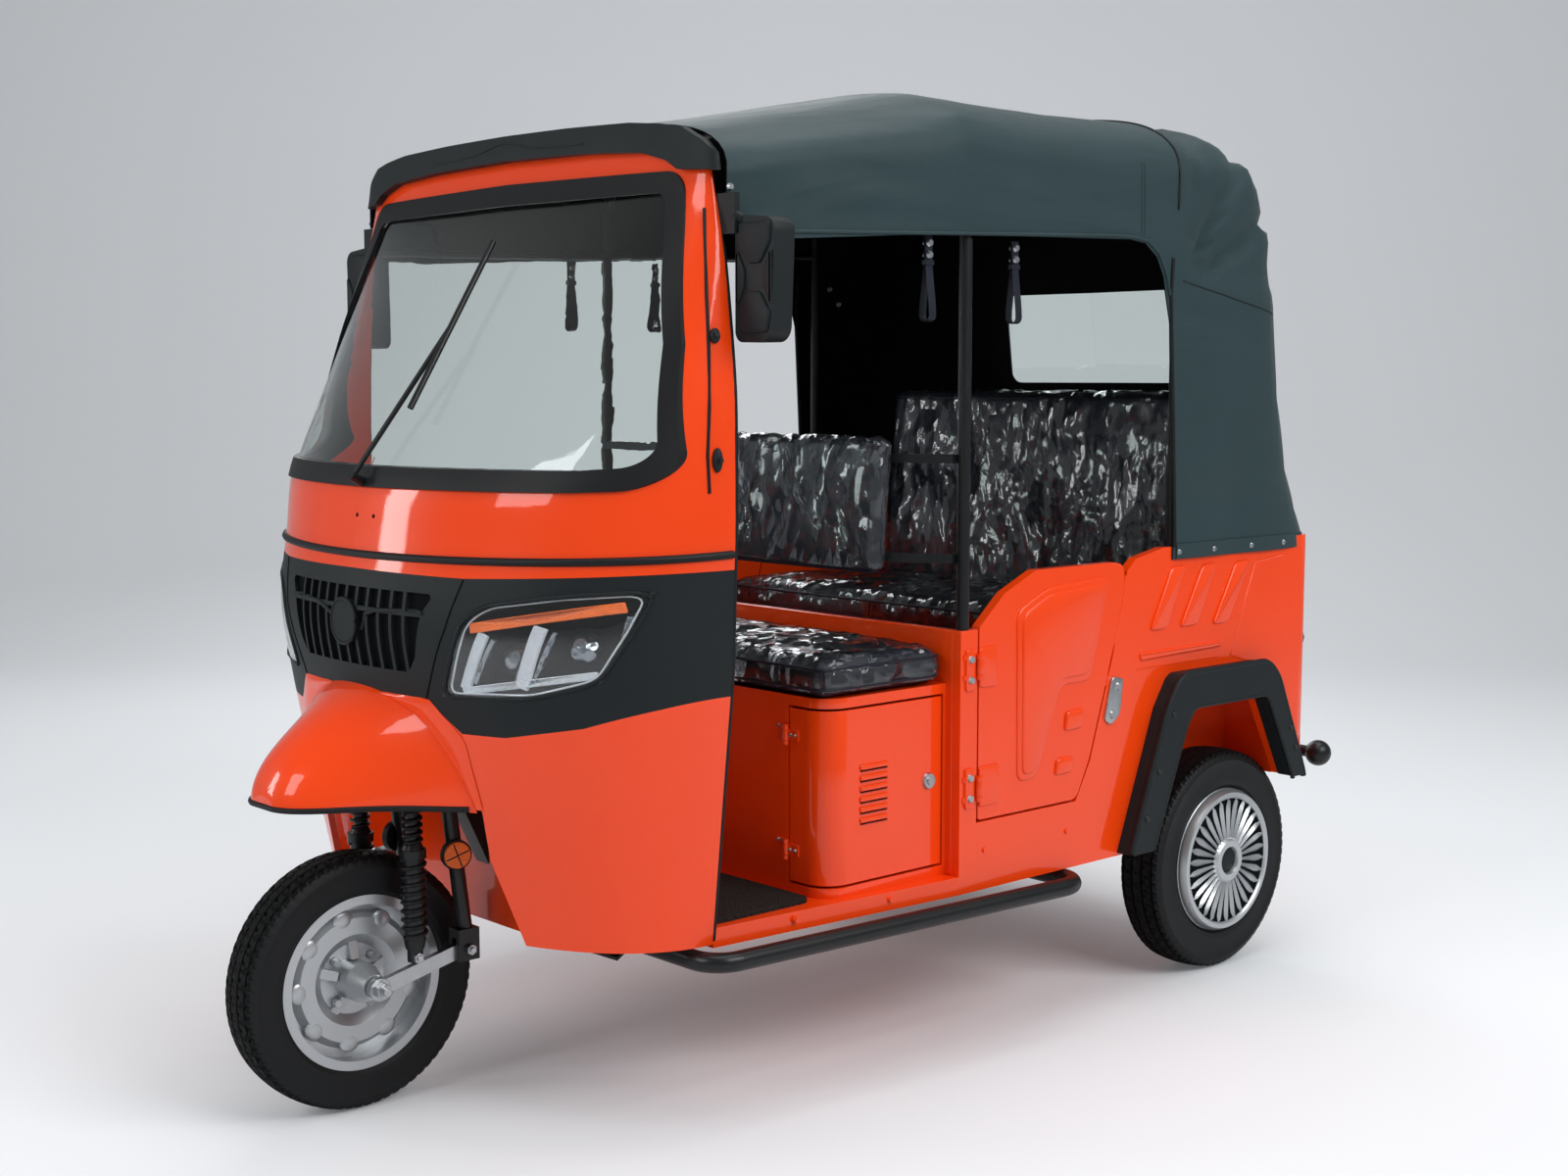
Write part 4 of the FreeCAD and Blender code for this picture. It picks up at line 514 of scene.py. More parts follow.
def table_value(table, key):
    """Value of a table of (key, value) pairs, straight between its rows."""
    for (k0, v0), (k1, v1) in zip(table, table[1:]):
        if key <= k1:
            return v0 + (v1 - v0) * max(0.0, (key - k0) / (k1 - k0))
    return table[-1][1]


SKIN = {}


def skin_tree(*names):
    """Search tree over the surfaces of some carried-over pieces."""
    if names not in SKIN:
        bm = bmesh.new()
        for name in names:
            bm.from_mesh(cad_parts[name].data)
        SKIN[names] = BVHTree.FromBMesh(bm)
        bm.free()
    return SKIN[names]


def from_ahead(tree, y, z):
    """Where a line from far ahead first meets a surface, with its normal; None where it misses."""
    hit, normal, _, _ = tree.ray_cast(at(-300, y, z), AFT)
    return hit and (hit, normal)


def from_beside(tree, station, side, z):
    """Where a line from beside the vehicle first meets a surface, with its normal; None where it misses."""
    hit, normal, _, _ = tree.ray_cast(at(station, side * 900, z), Vector((0, -side, 0)))
    return hit and (hit, normal)


def round_nose(tree, station, height, span, steps, proud=0.0):
    """Outermost points of a surface over a fan of angles in degrees, from span behind zero to span past it, round a
    middle station and at height(angle)."""
    points = []
    for k in range(steps + 1):
        angle = -span + 2 * span * k / steps
        way = Vector((math.cos(math.radians(angle)), math.sin(math.radians(angle)), 0))
        hit, normal, _, _ = tree.ray_cast(at(station, 0, height(angle)) + way * 2.0, -way, 2.0)
        if hit:
            points.append(hit + (normal if normal.dot(way) > 0 else -normal) * proud)
    return points


# ---------------------------------------------------------------- carried-over pieces

FINISHES = {
    PAINT: ("floor_pan", "wheel_well", "front_cowl", "cab_frame", "front_fender", "seat_box", "seat_box_door",
            "partition", "side_panels", "tail_panel", "wheel_housings", "bench_base", "door_left", "door_right"),
    CHASSIS: ("chassis_frame", "backrest_frame", "canopy_frame", "step_tubes", "wiper", "rear_bumper", "rear_axle",
              "leaf_springs", "steering_fork", "shock_absorbers"),
    PLASTIC: ("splash_panel", "fascia", "headlamp_bowls", "visor", "dashboard", "wheel_flares", "mirrors", "grille"),
    RUBBER: ("windscreen_seal",),
    GLASS: ("windscreen", "rear_window"),
    COVER: ("headlamp_lenses",),
    RED: ("tail_lamps",),
    IRON: ("engine_block",),
    HIDE: ("grab_straps", "driver_cushion", "driver_backrest", "passenger_cushion", "passenger_backrest"),
    CANVAS: ("canopy",),
    MIRROR: ("mirror_glasses",),
    ZINC: ("suspension_links",),
    TYRE: ("front_tyre", "rear_tyre_left", "rear_tyre_right"),
    LACQUER: ("front_rim", "rear_rim_left", "rear_rim_right"),
}

# Rolled or moulded edge radii of the plain panels, in metres
ROUNDED_EDGES = {"wheel_flares": 0.012, "door_left": 0.003, "door_right": 0.003, "side_panels": 0.003,
                 "seat_box": 0.003, "seat_box_door": 0.003, "mirrors": 0.006, "partition": 0.003}


class RICKSHAW_OT_finishes(bpy.types.Operator):
    """Make the finishes and give each carried-over piece its own"""
    bl_idname = "rickshaw.finishes"
    bl_label = "Finishes"

    def execute(self, context):
        make_materials(context.scene.rickshaw_colours)
        for name, pieces in FINISHES.items():
            for piece in pieces:
                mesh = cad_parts[piece].data
                mesh.materials.clear()
                mesh.materials.append(MATERIALS[name])
        for piece, width in ROUNDED_EDGES.items():
            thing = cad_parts[piece]
            thing.modifiers.new("weld", "WELD").merge_threshold = 0.00002
            round_edges(thing, width, 3, 50).harden_normals = True
        return {"FINISHED"}


# ---------------------------------------------------------------- wheels

# Sidewall from the bead as (radius, share of half the width), then what follows the tread radius, less the drop
SIDEWALL = ((0.157, 0.80), (0.169, 0.85), (0.176, 0.97), (0.182, 0.985), (0.184, 1.0), (0.187, 1.0), (0.205, 1.01))
SHOULDER = ((0.026, 1.0), (0.024, 1.015), (0.018, 0.985), (0.009, 0.90))
TREAD_PLACES = (0.80, 0.745, 0.735, 0.665, 0.655, 0.50, 0.29, 0.28, 0.20, 0.19, 0.0)
GROOVES = (0.735, 0.665, 0.28, 0.20)
TREAD_CROWN = 0.006
TYRE_STEPS = 288


def tyre_profile(radius, half, depth):
    """Half sidewalls, shoulders and a grooved tread, as (radius, offset) from one bead to the other."""
    right = [(r, v * half) for r, v in SIDEWALL] + [(radius - drop, v * half) for drop, v in SHOULDER]
    for v in TREAD_PLACES:
        groove = depth if v in GROOVES else 0.0
        right.append((radius - TREAD_CROWN * v ** 2 - groove, v * half))
    return [(r, -v) for r, v in right] + [(r, v) for r, v in reversed(right[:-1])]


def make_tyre(tag, centre, radius, half, body):
    """Grooved tyre with cut sipes and a map that runs round its tread, in place of the plain one."""
    depth = bpy.context.scene.rickshaw_sizes.tread_depth
    bm = bmesh.new()
    turned_about_axle(bm, tyre_profile(radius, half, depth), centre, TYRE_STEPS)
    bmesh.ops.remove_doubles(bm, verts=bm.verts, dist=0.00001)
    for vert in bm.verts:
        out = vert.co - centre
        across = abs(out.y / half)
        if math.hypot(out.x, out.z) < radius - 0.0105 or across > 0.93:
            continue
        turn = round(math.atan2(out.x, out.z) / math.tau * TYRE_STEPS)
        pitch = 4 if across > 0.7 else 6
        if (turn + round(across * 11)) % pitch == 0:
            share = 0.5 if across < 0.25 else 1.0
            vert.co -= Vector((out.x, 0, out.z)).normalized() * depth * 0.8 * share
    layer = bm.loops.layers.uv.new("tread")
    sipes = 96 if radius > 0.25 else 90
    for face in bm.faces:
        middle = face.calc_center_median() - centre
        base = math.atan2(middle.x, middle.z)
        on_tread = math.hypot(middle.x, middle.z) > radius - 0.0085 and abs(middle.y) < half * 0.92
        face.material_index = 1 if on_tread else 0
        for loop in face.loops:
            p = loop.vert.co - centre
            angle = base + (math.atan2(p.x, p.z) - base + math.pi) % math.tau - math.pi
            across = p.y / half
            loop[layer].uv = (angle / math.tau * sipes + 1.6 * abs(across), across)
    return finish_piece("tyre_" + tag, bm, [TYRE, TREAD], 28.0, body=body)


class RICKSHAW_OT_tyres(bpy.types.Operator):
    """Grooved tyres in place of the plain ones"""
    bl_idname = "rickshaw.tyres"
    bl_label = "Tyres"

    def execute(self, context):
        half = (FRONT_TYRE_HIGH.y - FRONT_TYRE_LOW.y) / 2
        front = make_tyre("front", Vector((AXLE_X, 0, FRONT_R)), FRONT_R, half, "front_wheel")
        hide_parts("front_tyre")
        half = (REAR_HIGH.y - REAR_LOW.y) / 2
        for side, tag in SIDES:
            rear = make_tyre("rear_" + tag, Vector((REAR_X, side * REAR_Y, REAR_R)), REAR_R, half,
                             "rear_wheel_" + tag)
            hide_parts("rear_tyre_" + tag)
        return {"FINISHED"}


class RICKSHAW_OT_front_wheel(bpy.types.Operator):
    """Bosses, ribs, studs and axle nuts of the pressed front wheel"""
    bl_idname = "rickshaw.front_wheel"
    bl_label = "Front wheel details"

    def execute(self, context):
        centre = Vector((AXLE_X, 0, FRONT_R))
        hub = Matrix.Translation(centre)
        bm = bmesh.new()
        for k in range(9):
            for lift in (0.0135, -0.004):
                place = hub @ spin((k + 0.3) / 9) @ Matrix.Translation((0, lift, 0.121))
                add_ball(bm, place @ Matrix.Diagonal((1.0, 0.30, 0.85, 1.0)), 0.022, 18, 10)
        for k in range(5):
            for face in (1, -1):
                rib = add_box(bm, (-0.009, 0.002, 0.04), (0.009, 0.016, 0.078))
                for vert in rib:
                    if vert.co.z > 0.06:
                        vert.co.y = 0.004 if vert.co.y > 0.01 else 0.0
                bmesh.ops.transform(bm, verts=rib, matrix=hub @ spin(k / 5) @ Matrix.Diagonal((1, face, 1, 1)))
        finish_piece("front_wheel_bosses", bm, LACQUER, 50, 0.002, "front_wheel")

        bm = bmesh.new()
        for k in range(4):
            for face in (1, -1):
                stud = add_stud(bm, Vector((0, face * 0.004, 0.055)), (0, face * 0.014, 0), 0.009, 6)
                bmesh.ops.transform(bm, verts=stud, matrix=hub @ spin((k + 0.5) / 4))
        finish_piece("front_wheel_studs", bm, ZINC, 30, 0.001, "front_wheel")

        bm = bmesh.new()
        for face in (1, -1):
            for foot, length, radius, sides in ((0.102, 0.004, 0.022, 28), (0.106, 0.014, 0.016, 6),
                                                (0.120, 0.012, 0.008, 16)):
                add_stud(bm, centre + Vector((0, face * foot, 0)), (0, face * length, 0), radius, sides)
        finish_piece("front_axle_nuts", bm, ZINC, 30, 0.001, "steering")
        return {"FINISHED"}


# Rear wheel cover: profiles of its rings from the rim's face, the first a near-black disc of painted shade behind the
# spokes, and one leaf spoke with its raised middle line
COVER_SHADE_DISC = ((0.052, 0.001), (0.148, -0.001), (0.148, -0.006), (0.052, -0.006))
COVER_RIM = ((0.146, 0.002), (0.150, 0.006), (0.160, 0.005), (0.1672, -0.008), (0.1672, -0.012), (0.146, -0.006))
COVER_HUB = ((0.030, 0.004), (0.033, 0.010), (0.047, 0.010), (0.054, 0.004), (0.054, -0.003), (0.030, -0.003))
COVER_CAP = ((0.0, 0.003), (0.026, 0.003), (0.030, 0.001), (0.030, -0.004), (0.0, -0.004))
LEAF = ((-0.0030, 0.050), (-0.0046, 0.075), (-0.0078, 0.115), (-0.0070, 0.130), (0.0, 0.148), (0.0070, 0.130),
        (0.0078, 0.115), (0.0046, 0.075), (0.0030, 0.050))
LEAF_RIDGE = (0.052, 0.112, 0.140)


class RICKSHAW_OT_hubcaps(bpy.types.Operator):
    """Rear wheel covers with leaf-shaped spokes over a near-black disc of painted shade"""
    bl_idname = "rickshaw.hubcaps"
    bl_label = "Rear wheel covers"

    def execute(self, context):
        count = context.scene.rickshaw_sizes.spokes
        for side, tag in SIDES:
            low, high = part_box("rear_rim_" + tag)
            centre = Vector((REAR_X, high.y if side > 0 else low.y, REAR_R))
            body = "rear_wheel_" + tag
            bm = bmesh.new()
            # Near-black disc behind the spokes: painted shade seen through the gaps between them
            turned_about_axle(bm, COVER_SHADE_DISC, centre, 72, side)
            finish_piece("cover_shade_disc_" + tag, bm, LINING_AND_SHADE, body=body)
            bm = bmesh.new()
            turned_about_axle(bm, COVER_RIM, centre, 90, side)
            turned_about_axle(bm, COVER_HUB, centre, 60, side)
            for k in range(count):
                ring = [bm.verts.new(Vector((u, side * 0.001, v))) for u, v in LEAF]
                ridge = [bm.verts.new(Vector((0, side * 0.0075, v))) for v in LEAF_RIDGE]
                for a, b, r in ((0, 1, 0), (1, 2, 1), (2, 3, 1), (3, 4, 2)):
                    bm.faces.new((ring[a], ring[b], ridge[r]))
                    bm.faces.new((ring[8 - a], ring[8 - b], ridge[r]))
                for a, b, i in ((0, 1, 1), (1, 2, 3)):
                    bm.faces.new((ridge[a], ridge[b], ring[i]))
                    bm.faces.new((ridge[b], ridge[a], ring[8 - i]))
                bm.faces.new((ring[0], ring[8], ridge[0]))
                bmesh.ops.transform(bm, verts=ring + ridge, matrix=Matrix.Translation(centre) @ spin(k / count))
            finish_piece("cover_spokes_" + tag, bm, LACQUER, 30, body=body)
            bm = bmesh.new()
            turned_about_axle(bm, COVER_CAP, centre, 40, side)
            finish_piece("cover_cap_" + tag, bm, PLASTIC, body=body)
        return {"FINISHED"}


# ---------------------------------------------------------------- front suspension

# Parts of a shock absorber from foot to head as (start, end, radius, sides, end radius), with places as shares of
# its length, and its coils as (start, end, turns, radius, wire radius)
SHOCK_PARTS = ((0.0, 0.10, 0.015, 24, None), (0.08, 0.14, 0.018, 24, 0.0215), (0.14, 0.66, 0.0205, 28, None),
               (0.645, 0.70, 0.0255, 28, None), (0.70, 0.74, 0.0215, 28, 0.016), (0.72, 0.95, 0.0125, 20, None),
               (0.93, 1.0, 0.019, 24, 0.013))
SHOCK_COILS = ((0.16, 0.64, 9, 0.0222, 0.0040), (0.74, 0.92, 4, 0.0165, 0.0038))
COIL_STEPS = 14


class RICKSHAW_OT_shocks(bpy.types.Operator):
    """Coil-over shock absorbers, clamp bolts and side reflectors of the fork"""
    bl_idname = "rickshaw.shocks"
    bl_label = "Shock absorbers"

    def execute(self, context):
        low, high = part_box("shock_absorbers")
        middle = (low.x + high.x) / 2
        bm = bmesh.new()
        for side, _ in SIDES:
            foot = Vector((middle - 0.001, side * (high.y - 0.026), low.z))
            head = Vector((middle + 0.001, side * (high.y - 0.026), high.z))
            for first, last, radius, sides, tip in SHOCK_PARTS:
                add_rod(bm, foot.lerp(head, first), foot.lerp(head, last), radius, sides, tip)
            for first, last, turns, reach, wire in SHOCK_COILS:
                coil = []
                for k in range(turns * COIL_STEPS + 1):
                    t = k / (turns * COIL_STEPS)
                    angle = math.tau * turns * t
                    coil.append(foot.lerp(head, first + (last - first) * t)
                                + Vector((math.cos(angle), math.sin(angle), 0)) * reach)
                add_bead(bm, coil, wire, 7)
        coils = finish_piece("shock_coils", bm, CHASSIS, body="steering")
        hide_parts("shock_absorbers")

        bm = bmesh.new()
        for side, _ in SIDES:
            for p in (at(193, side * 113, 288), Vector((middle, side * 0.104, low.z + 0.008))):
                add_stud(bm, p, (0, side * 0.009, 0), 0.011, 6)
                add_stud(bm, p + Vector((0, side * 0.009, 0)), (0, side * 0.005, 0), 0.006, 14)
        finish_piece("fork_bolts", bm, ZINC, 30, 0.001, "steering")

        lens, cross = bmesh.new(), bmesh.new()
        for side, _ in SIDES:
            p = at(166, side * 113, 477)
            out = Vector((0.25, side, 0)).normalized()
            add_stud(lens, p, out * 0.008, 0.027, 36, 0.025)
            for turn in (20, 110):
                bar = add_box(cross, (-0.024, -0.0012, 0.0), (0.024, 0.0012, 0.0086))
                place = Matrix.Translation(p) @ facing(out) @ Matrix.Rotation(math.radians(turn), 4, "Z")
                bmesh.ops.transform(cross, verts=bar, matrix=place)
            add_rod(cross, p - out * 0.010, p + out * 0.003, 0.0295, 36)
        finish_piece("fork_reflectors", lens, AMBER, body="steering")
        finish_piece("fork_reflector_mounts", cross, PLASTIC, body="steering")
        return {"FINISHED"}


# ---------------------------------------------------------------- nose

# Front views in millimetres as (y, z), for one side
GRILLE_BAR = ((229, 962), (200, 963), (150, 961), (100, 958), (72, 950), (56, 936), (47, 918))
GRILLE_DISC_Z = 0.930
GRILLE_HALF = ((850, 180), (880, 202), (962, 222), (962, 224), (997, 248))


def nose_fillet():
    """Painted web that closes the nose round the fender's root, from its arch out to the wheel opening."""
    root, nose = skin_tree("front_fender"), skin_tree("front_cowl", "fascia")
    bm = bmesh.new()
    rows = []
    for k in range(57):
        way = Vector((0, math.cos(math.pi * k / 56), math.sin(math.pi * k / 56)))
        inner = outer = None
        for step in range(400):
            start = Vector((AXLE_X + 0.5, 0, 0.603)) + way * 0.001 * step
            hit = root.ray_cast(start, AFT, 0.75)[0]
            if hit:
                inner = hit
                continue
            outer = inner and nose.ray_cast(start, AFT, 0.75)[0]
            if outer:
                break
        if outer is None or (outer - inner).length < 0.002:
            continue
        outer = outer + way * 0.004 + Vector((0.0006, 0, 0))
        inner = inner - way * 0.003 + Vector((0.0004, 0, 0))
        rows.append([bm.verts.new(inner.lerp(outer, j / 6) + Vector((0.004 * math.sin(math.pi * j / 6), 0, 0)))
                     for j in range(7)])
    fill_rows(bm, rows)
    bmesh.ops.solidify(bm, geom=list(bm.faces), thickness=0.0012)
    finish_piece("nose_fillet", bm, PAINT, 60)


class RICKSHAW_OT_trim(bpy.types.Operator):
    """Rubber strip round the cab, edging and root of the fender, joints of the nose panel, bars of the grille and a
    sheet of painted shade behind them
    """
    bl_idname = "rickshaw.trim"
    bl_label = "Cab trim"

    def execute(self, context):
        cab = skin_tree("cab_frame", "fascia")
        bm = bmesh.new()
        add_bead(bm, round_nose(cab, 428, lambda a: 1056 + 14 * (a / 90) ** 2, 89.6, 96, 0.0005), 0.0075)
        finish_piece("cab_rubber_strip", bm, RUBBER, 60)

        bm = bmesh.new()
        fender_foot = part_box("front_fender")[0].z * 1000
        edge = round_nose(skin_tree("front_fender"), 70, lambda _: fender_foot + 13, 112, 110)
        add_bead(bm, [p - UP * 0.006 for p in edge], 0.0055)
        finish_piece("fender_edging", bm, RUBBER, 60)
        nose_fillet()

        bm = bmesh.new()
        for side, _ in SIDES:
            path = []
            for k in range(21):
                t = k / 20
                y = 313 - 32 * min(1, t * 2.4) - 65 * max(0, t * 1.7 - 0.7)
                found = from_ahead(cab, y * side, 1026 - 222 * t)
                if found:
                    path.append(found[0])
            add_bead(bm, path, 0.0016, 6)
        finish_piece("nose_joints", bm, LINING_AND_SHADE, 60)

        bm = bmesh.new()
        grille = skin_tree("fascia", "grille")
        for side, _ in SIDES:
            hits = [(from_ahead(grille, y * side, z), y, z) for y, z in GRILLE_BAR]
            path = [Vector((found[0].x, y * side / 1000, z / 1000)) for found, y, z in hits if found]
            front = max(p.x for p in path)
            add_bead(bm, [Vector((max(p.x, front - 0.03 * (p.y / 0.2) ** 2 - 0.004), p.y, p.z)) for p in path],
                     0.0045)
        disc = Vector((from_ahead(grille, 0, GRILLE_DISC_Z * 1000)[0].x, 0, GRILLE_DISC_Z))
        add_rod(bm, disc - AHEAD * 0.004, disc + AHEAD * 0.0045, 0.0405, 48, 0.039)
        rim = [disc + Vector((0.003, 0.0425 * math.cos(math.tau * k / 48), 0.0425 * math.sin(math.tau * k / 48)))
               for k in range(48)]
        add_bead(bm, rim, 0.0034, closed=True)
        finish_piece("grille_bars", bm, PLASTIC, 50)

        # Near-black sheet just ahead of the shallow back wall of the grille's opening: painted shade standing for the
        # deep dark recess behind the bars
        bm = bmesh.new()
        wall = skin_tree("fascia")
        rows = []
        for k in range(15):
            z = 853 + 141 * k / 14
            half = table_value(GRILLE_HALF, z)
            rows.append([bm.verts.new(from_ahead(wall, half * (j / 15 - 1) * 0.985, z)[0] + AHEAD * 0.0012)
                         for j in range(31)])

        def flat(corners):
            places = [vert.co.x for vert in corners]
            return max(places) - min(places) < 0.008

        fill_rows(bm, rows, flat)
        bmesh.ops.delete(bm, geom=[v for v in bm.verts if not v.link_faces], context="VERTS")
        finish_piece("grille_shade_sheet", bm, LINING_AND_SHADE, 60)
        return {"FINISHED"}


# Front views of the left headlamp in millimetres: bars as (start, end, width), outlines and bowls (y, z, radius)
LAMP_GUIDES = (((352, 932), (300, 828), 20), ((450, 948), (409, 836), 21), ((296, 824), (522, 864), 14))
LAMP_TURN = ((326, 940), (556, 984), 19)
LAMP_FINS = (((365, 922), (318, 838), 8), ((436, 938), (397, 846), 6), ((468, 940), (428, 850), 6),
             ((560, 968), (548, 896), 9))
# Outline of a near-black plate deep behind the cover: painted shade inside the lamp
LAMP_SHADE_PLATE = ((300, 835), (420, 842), (520, 868), (560, 950), (560, 985), (480, 975), (350, 945), (322, 935))
LAMP_BOWLS = ((372, 884, 0.030), (482, 905, 0.032))
LAMP_EDGE = ((258, 812), (430, 819), (530, 851), (568, 936), (589, 1012), (489, 1004), (361, 983), (317, 953),
             (285, 875))
LAMP_MIDDLE = Vector((430, 915))


def lens_depth(tree, y, z):
    """How far ahead the lamp cover's face lies at a place in front view; None where there is none."""
    found = from_ahead(tree, y, z)
    return found and found[0].x


def lamp_plate(bm, tree, outline, side, behind, thickness):
    """Plate that follows the lamp cover at some depth behind it."""
    verts = []
    for y, z in outline:
        x = lens_depth(tree, y * side, z)
        if x is None:
            x = lens_depth(tree, y * side * 0.97, z)
        verts.append(bm.verts.new(Vector((x - behind, y * side / 1000, z / 1000))))
    top = extruded(bm, [bm.faces.new(verts)])[1]
    bmesh.ops.translate(bm, verts=top, vec=AFT * thickness)


def bar_outline(start, end, width):
    """Outline of a straight bar between two points, with points along its sides."""
    a, b, steps = Vector(start), Vector(end), 10
    across = (b - a).normalized().orthogonal() * width / 2
    there = [a + (b - a) * k / steps + across for k in range(steps + 1)]
    back = [a + (b - a) * k / steps - across for k in range(steps, -1, -1)]
    return [(p.x, p.y) for p in there + back]


class RICKSHAW_OT_headlamps(bpy.types.Operator):
    """Light guides, turn strip, reflectors, a near-black plate of painted shade and bezel inside the headlamps"""
    bl_idname = "rickshaw.headlamps"
    bl_label = "Headlamps"

    def execute(self, context):
        tree = skin_tree("headlamp_lenses", "fascia")
        guides, turn, chrome, dark = bmesh.new(), bmesh.new(), bmesh.new(), bmesh.new()
        for side, _ in SIDES:
            for bar in LAMP_GUIDES:
                lamp_plate(guides, tree, bar_outline(*bar), side, 0.010, 0.006)
            lamp_plate(turn, tree, bar_outline(*LAMP_TURN), side, 0.009, 0.006)
            for bar in LAMP_FINS:
                lamp_plate(chrome, tree, bar_outline(*bar), side, 0.016, 0.006)
            # Near-black plate 75 mm behind the cover: painted shade of the lamp's hollow
            lamp_plate(dark, tree, LAMP_SHADE_PLATE, side, 0.075, 0.004)
            for y, z, radius in LAMP_BOWLS:
                place = Vector((lens_depth(tree, y * side, z) - 0.060, y * side / 1000, z / 1000))
                add_ball(chrome, Matrix.Translation(place), radius, 24, 14)
        finish_piece("lamp_light_guides", guides, GUIDE, bevel=0.0015)
        finish_piece("lamp_turn_strips", turn, AMBER, bevel=0.0015)
        finish_piece("lamp_reflectors", chrome, CHROME, bevel=0.001)
        finish_piece("lamp_shade_plates", dark, LINING_AND_SHADE)

        bezels, rims = bmesh.new(), bmesh.new()
        skin = skin_tree("fascia", "headlamp_lenses")
        inner = [LAMP_MIDDLE + (Vector(p) - LAMP_MIDDLE) * 0.93 for p in LAMP_EDGE]
        for side, _ in SIDES:
            hits = [from_ahead(skin, y * side, z) for y, z in rounded(LAMP_EDGE, 26)]
            add_bead(bezels, [found[0] + AHEAD * 0.0005 for found in hits if found], 0.0042, 6, closed=True)
            path = [(lens_depth(tree, y * side, z), y * side / 1000, z / 1000) for y, z in rounded(inner, 22)]
            add_bead(rims, [Vector((x - 0.007, y, z)) for x, y, z in path if x is not None], 0.0022, 6, closed=True)
        finish_piece("lamp_bezels", bezels, PLASTIC, 60)
        finish_piece("lamp_rims", rims, GUIDE, 60)
        return {"FINISHED"}


# ---------------------------------------------------------------- canopy

# Stations of the canvas' front edge, front bow and rear pole, its back as (z, station) and its side opening as
# (station, z), all in millimetres
CANOPY_FRONT, CANOPY_BOW, CANOPY_POLE = 430.0, 1040.0, 1640.0
CANOPY_BACK = ((979, 2293), (1008, 2293), (1157, 2219), (1341, 2169), (1570, 2139), (1722, 2119), (1772, 2111),
               (1825, 2055), (1856, 2033), (1908, 2000), (1930, 1935), (1950, 1855), (1975, 1665))
SIDE_OPENING = [(300, 900), (300, 1632), (586, 1633), (965, 1658), (1558, 1674), (1610, 1668), (1650, 1640),
                (1674, 1600), (1702, 1500), (1728, 1000), (1728, 960)]
# Rear pane as a rectangle of (y, z), and the slot for a mirror's bracket as one of (station, z)
REAR_PANE = (-270, 1368, 270, 1595)
BRACKET_SLOT = (425, 1632, 443, 1706)
# Heights of the cloth's lower edge, of the middle that its upper rays leave from, and of the folds' meeting point
CANOPY_FOOT, CANOPY_HEART, CANOPY_FOLDS = 980, 1500, 1560
# Thickness of the cloth in metres
CLOTH = 0.003
# Half width at which the canvas' own side is looked for
CLOTH_Y = 604
# Piping down the rear edge of the side opening, and the hem round its top corner, as (station, z)
REAR_EDGE = ((1733, 1008), (1727, 1100), (1716, 1300), (1708, 1460), (1702, 1560), (1706, 1640))
HEM_CORNER = ((1580, 1678), (1620, 1672), (1655, 1648), (1682, 1606), (1697, 1560))


def canopy_reach(d, y, z):
    """Above 1 outside the canvas at a station, side place and height in millimetres, below 1 inside."""
    part = min(1.0, max(0.0, (d - CANOPY_FRONT) / (CANOPY_BOW - CANOPY_FRONT)))
    half, shoulder, top = 602 + 5 * part, 1754 + 72 * part, 1850 + 114 * part
    side = (abs(y) / half) ** 5 + (max(0.0, z - shoulder) / (top - shoulder)) ** 2
    back = 0.0
    if d > CANOPY_POLE:
        rear = table_value(CANOPY_BACK, z) + 40 * (1 - min(1.0, abs(y) / half))
        back = ((d - CANOPY_POLE) / max(30.0, rear - CANOPY_POLE)) ** 16
    return side ** 3 + back


def canopy_slack(d, y, z):
    """How far the cloth lies inside its drawn-tight form, in millimetres, from sag, wrinkles and folds."""
    sag = bpy.context.scene.rickshaw_sizes.canvas_sag * 1000
    high = min(1.0, max(0.0, (z - 1640) / 200))
    slack = 0.0
    for start, end in ((CANOPY_FRONT, CANOPY_BOW), (CANOPY_BOW, 1748)):
        if start < d < end:
            slack += 1.6 * sag * math.sin(math.pi * (d - start) / (end - start)) * high
    slack += 2.2 * noise.noise(Vector((d / 260, y / 240, z / 150)))
    slack += 1.2 * noise.noise(Vector((d / 90, y / 120, z / 320 + 7)))
    if d < 1000:
        streak = math.sin(z / 21 + d / 160) * math.exp(-((z - 1745) / 60) ** 2)
        slack += 2.6 * streak * math.sin(math.pi * (d - CANOPY_FRONT) / 570)
    if d > 1760 and z > CANOPY_FOLDS:
        # Folds fan out from the rear bow's foot, each sharp on one edge and fading to the next
        part = (math.atan2(z - CANOPY_FOLDS, d - 1730) * 2.35 + 0.08) % 1.0
        fold = min(1.0, part / 0.16) * math.exp(-2.6 * max(0.0, part - 0.16))
        slack += 32 * fold * min(1.0, (z - CANOPY_FOLDS) / 90) * min(1.0, (d - 1760) / 60) - 2
        slack += 9 * math.exp(-((d - 1778) / 13) ** 2) * min(1.0, (z - CANOPY_FOLDS) / 60)
    if z < 1250:
        slack += 2.0 * math.sin(d / 38 + y / 47) * (1250 - z) / 270
    return max(slack + 2.0, 0.0)


def canopy_point(start, way):
    """Place of the cloth along a ray from inside."""
    low, high = 0.0, 1400.0
    for _ in range(22):
        middle = (low + high) / 2
        p = [a + b * middle for a, b in zip(start, way)]
        low, high = (middle, high) if canopy_reach(*p) < 1 else (low, middle)
    p = [a + b * low for a, b in zip(start, way)]
    low -= canopy_slack(*p)
    return at(*(a + b * low for a, b in zip(start, way)))


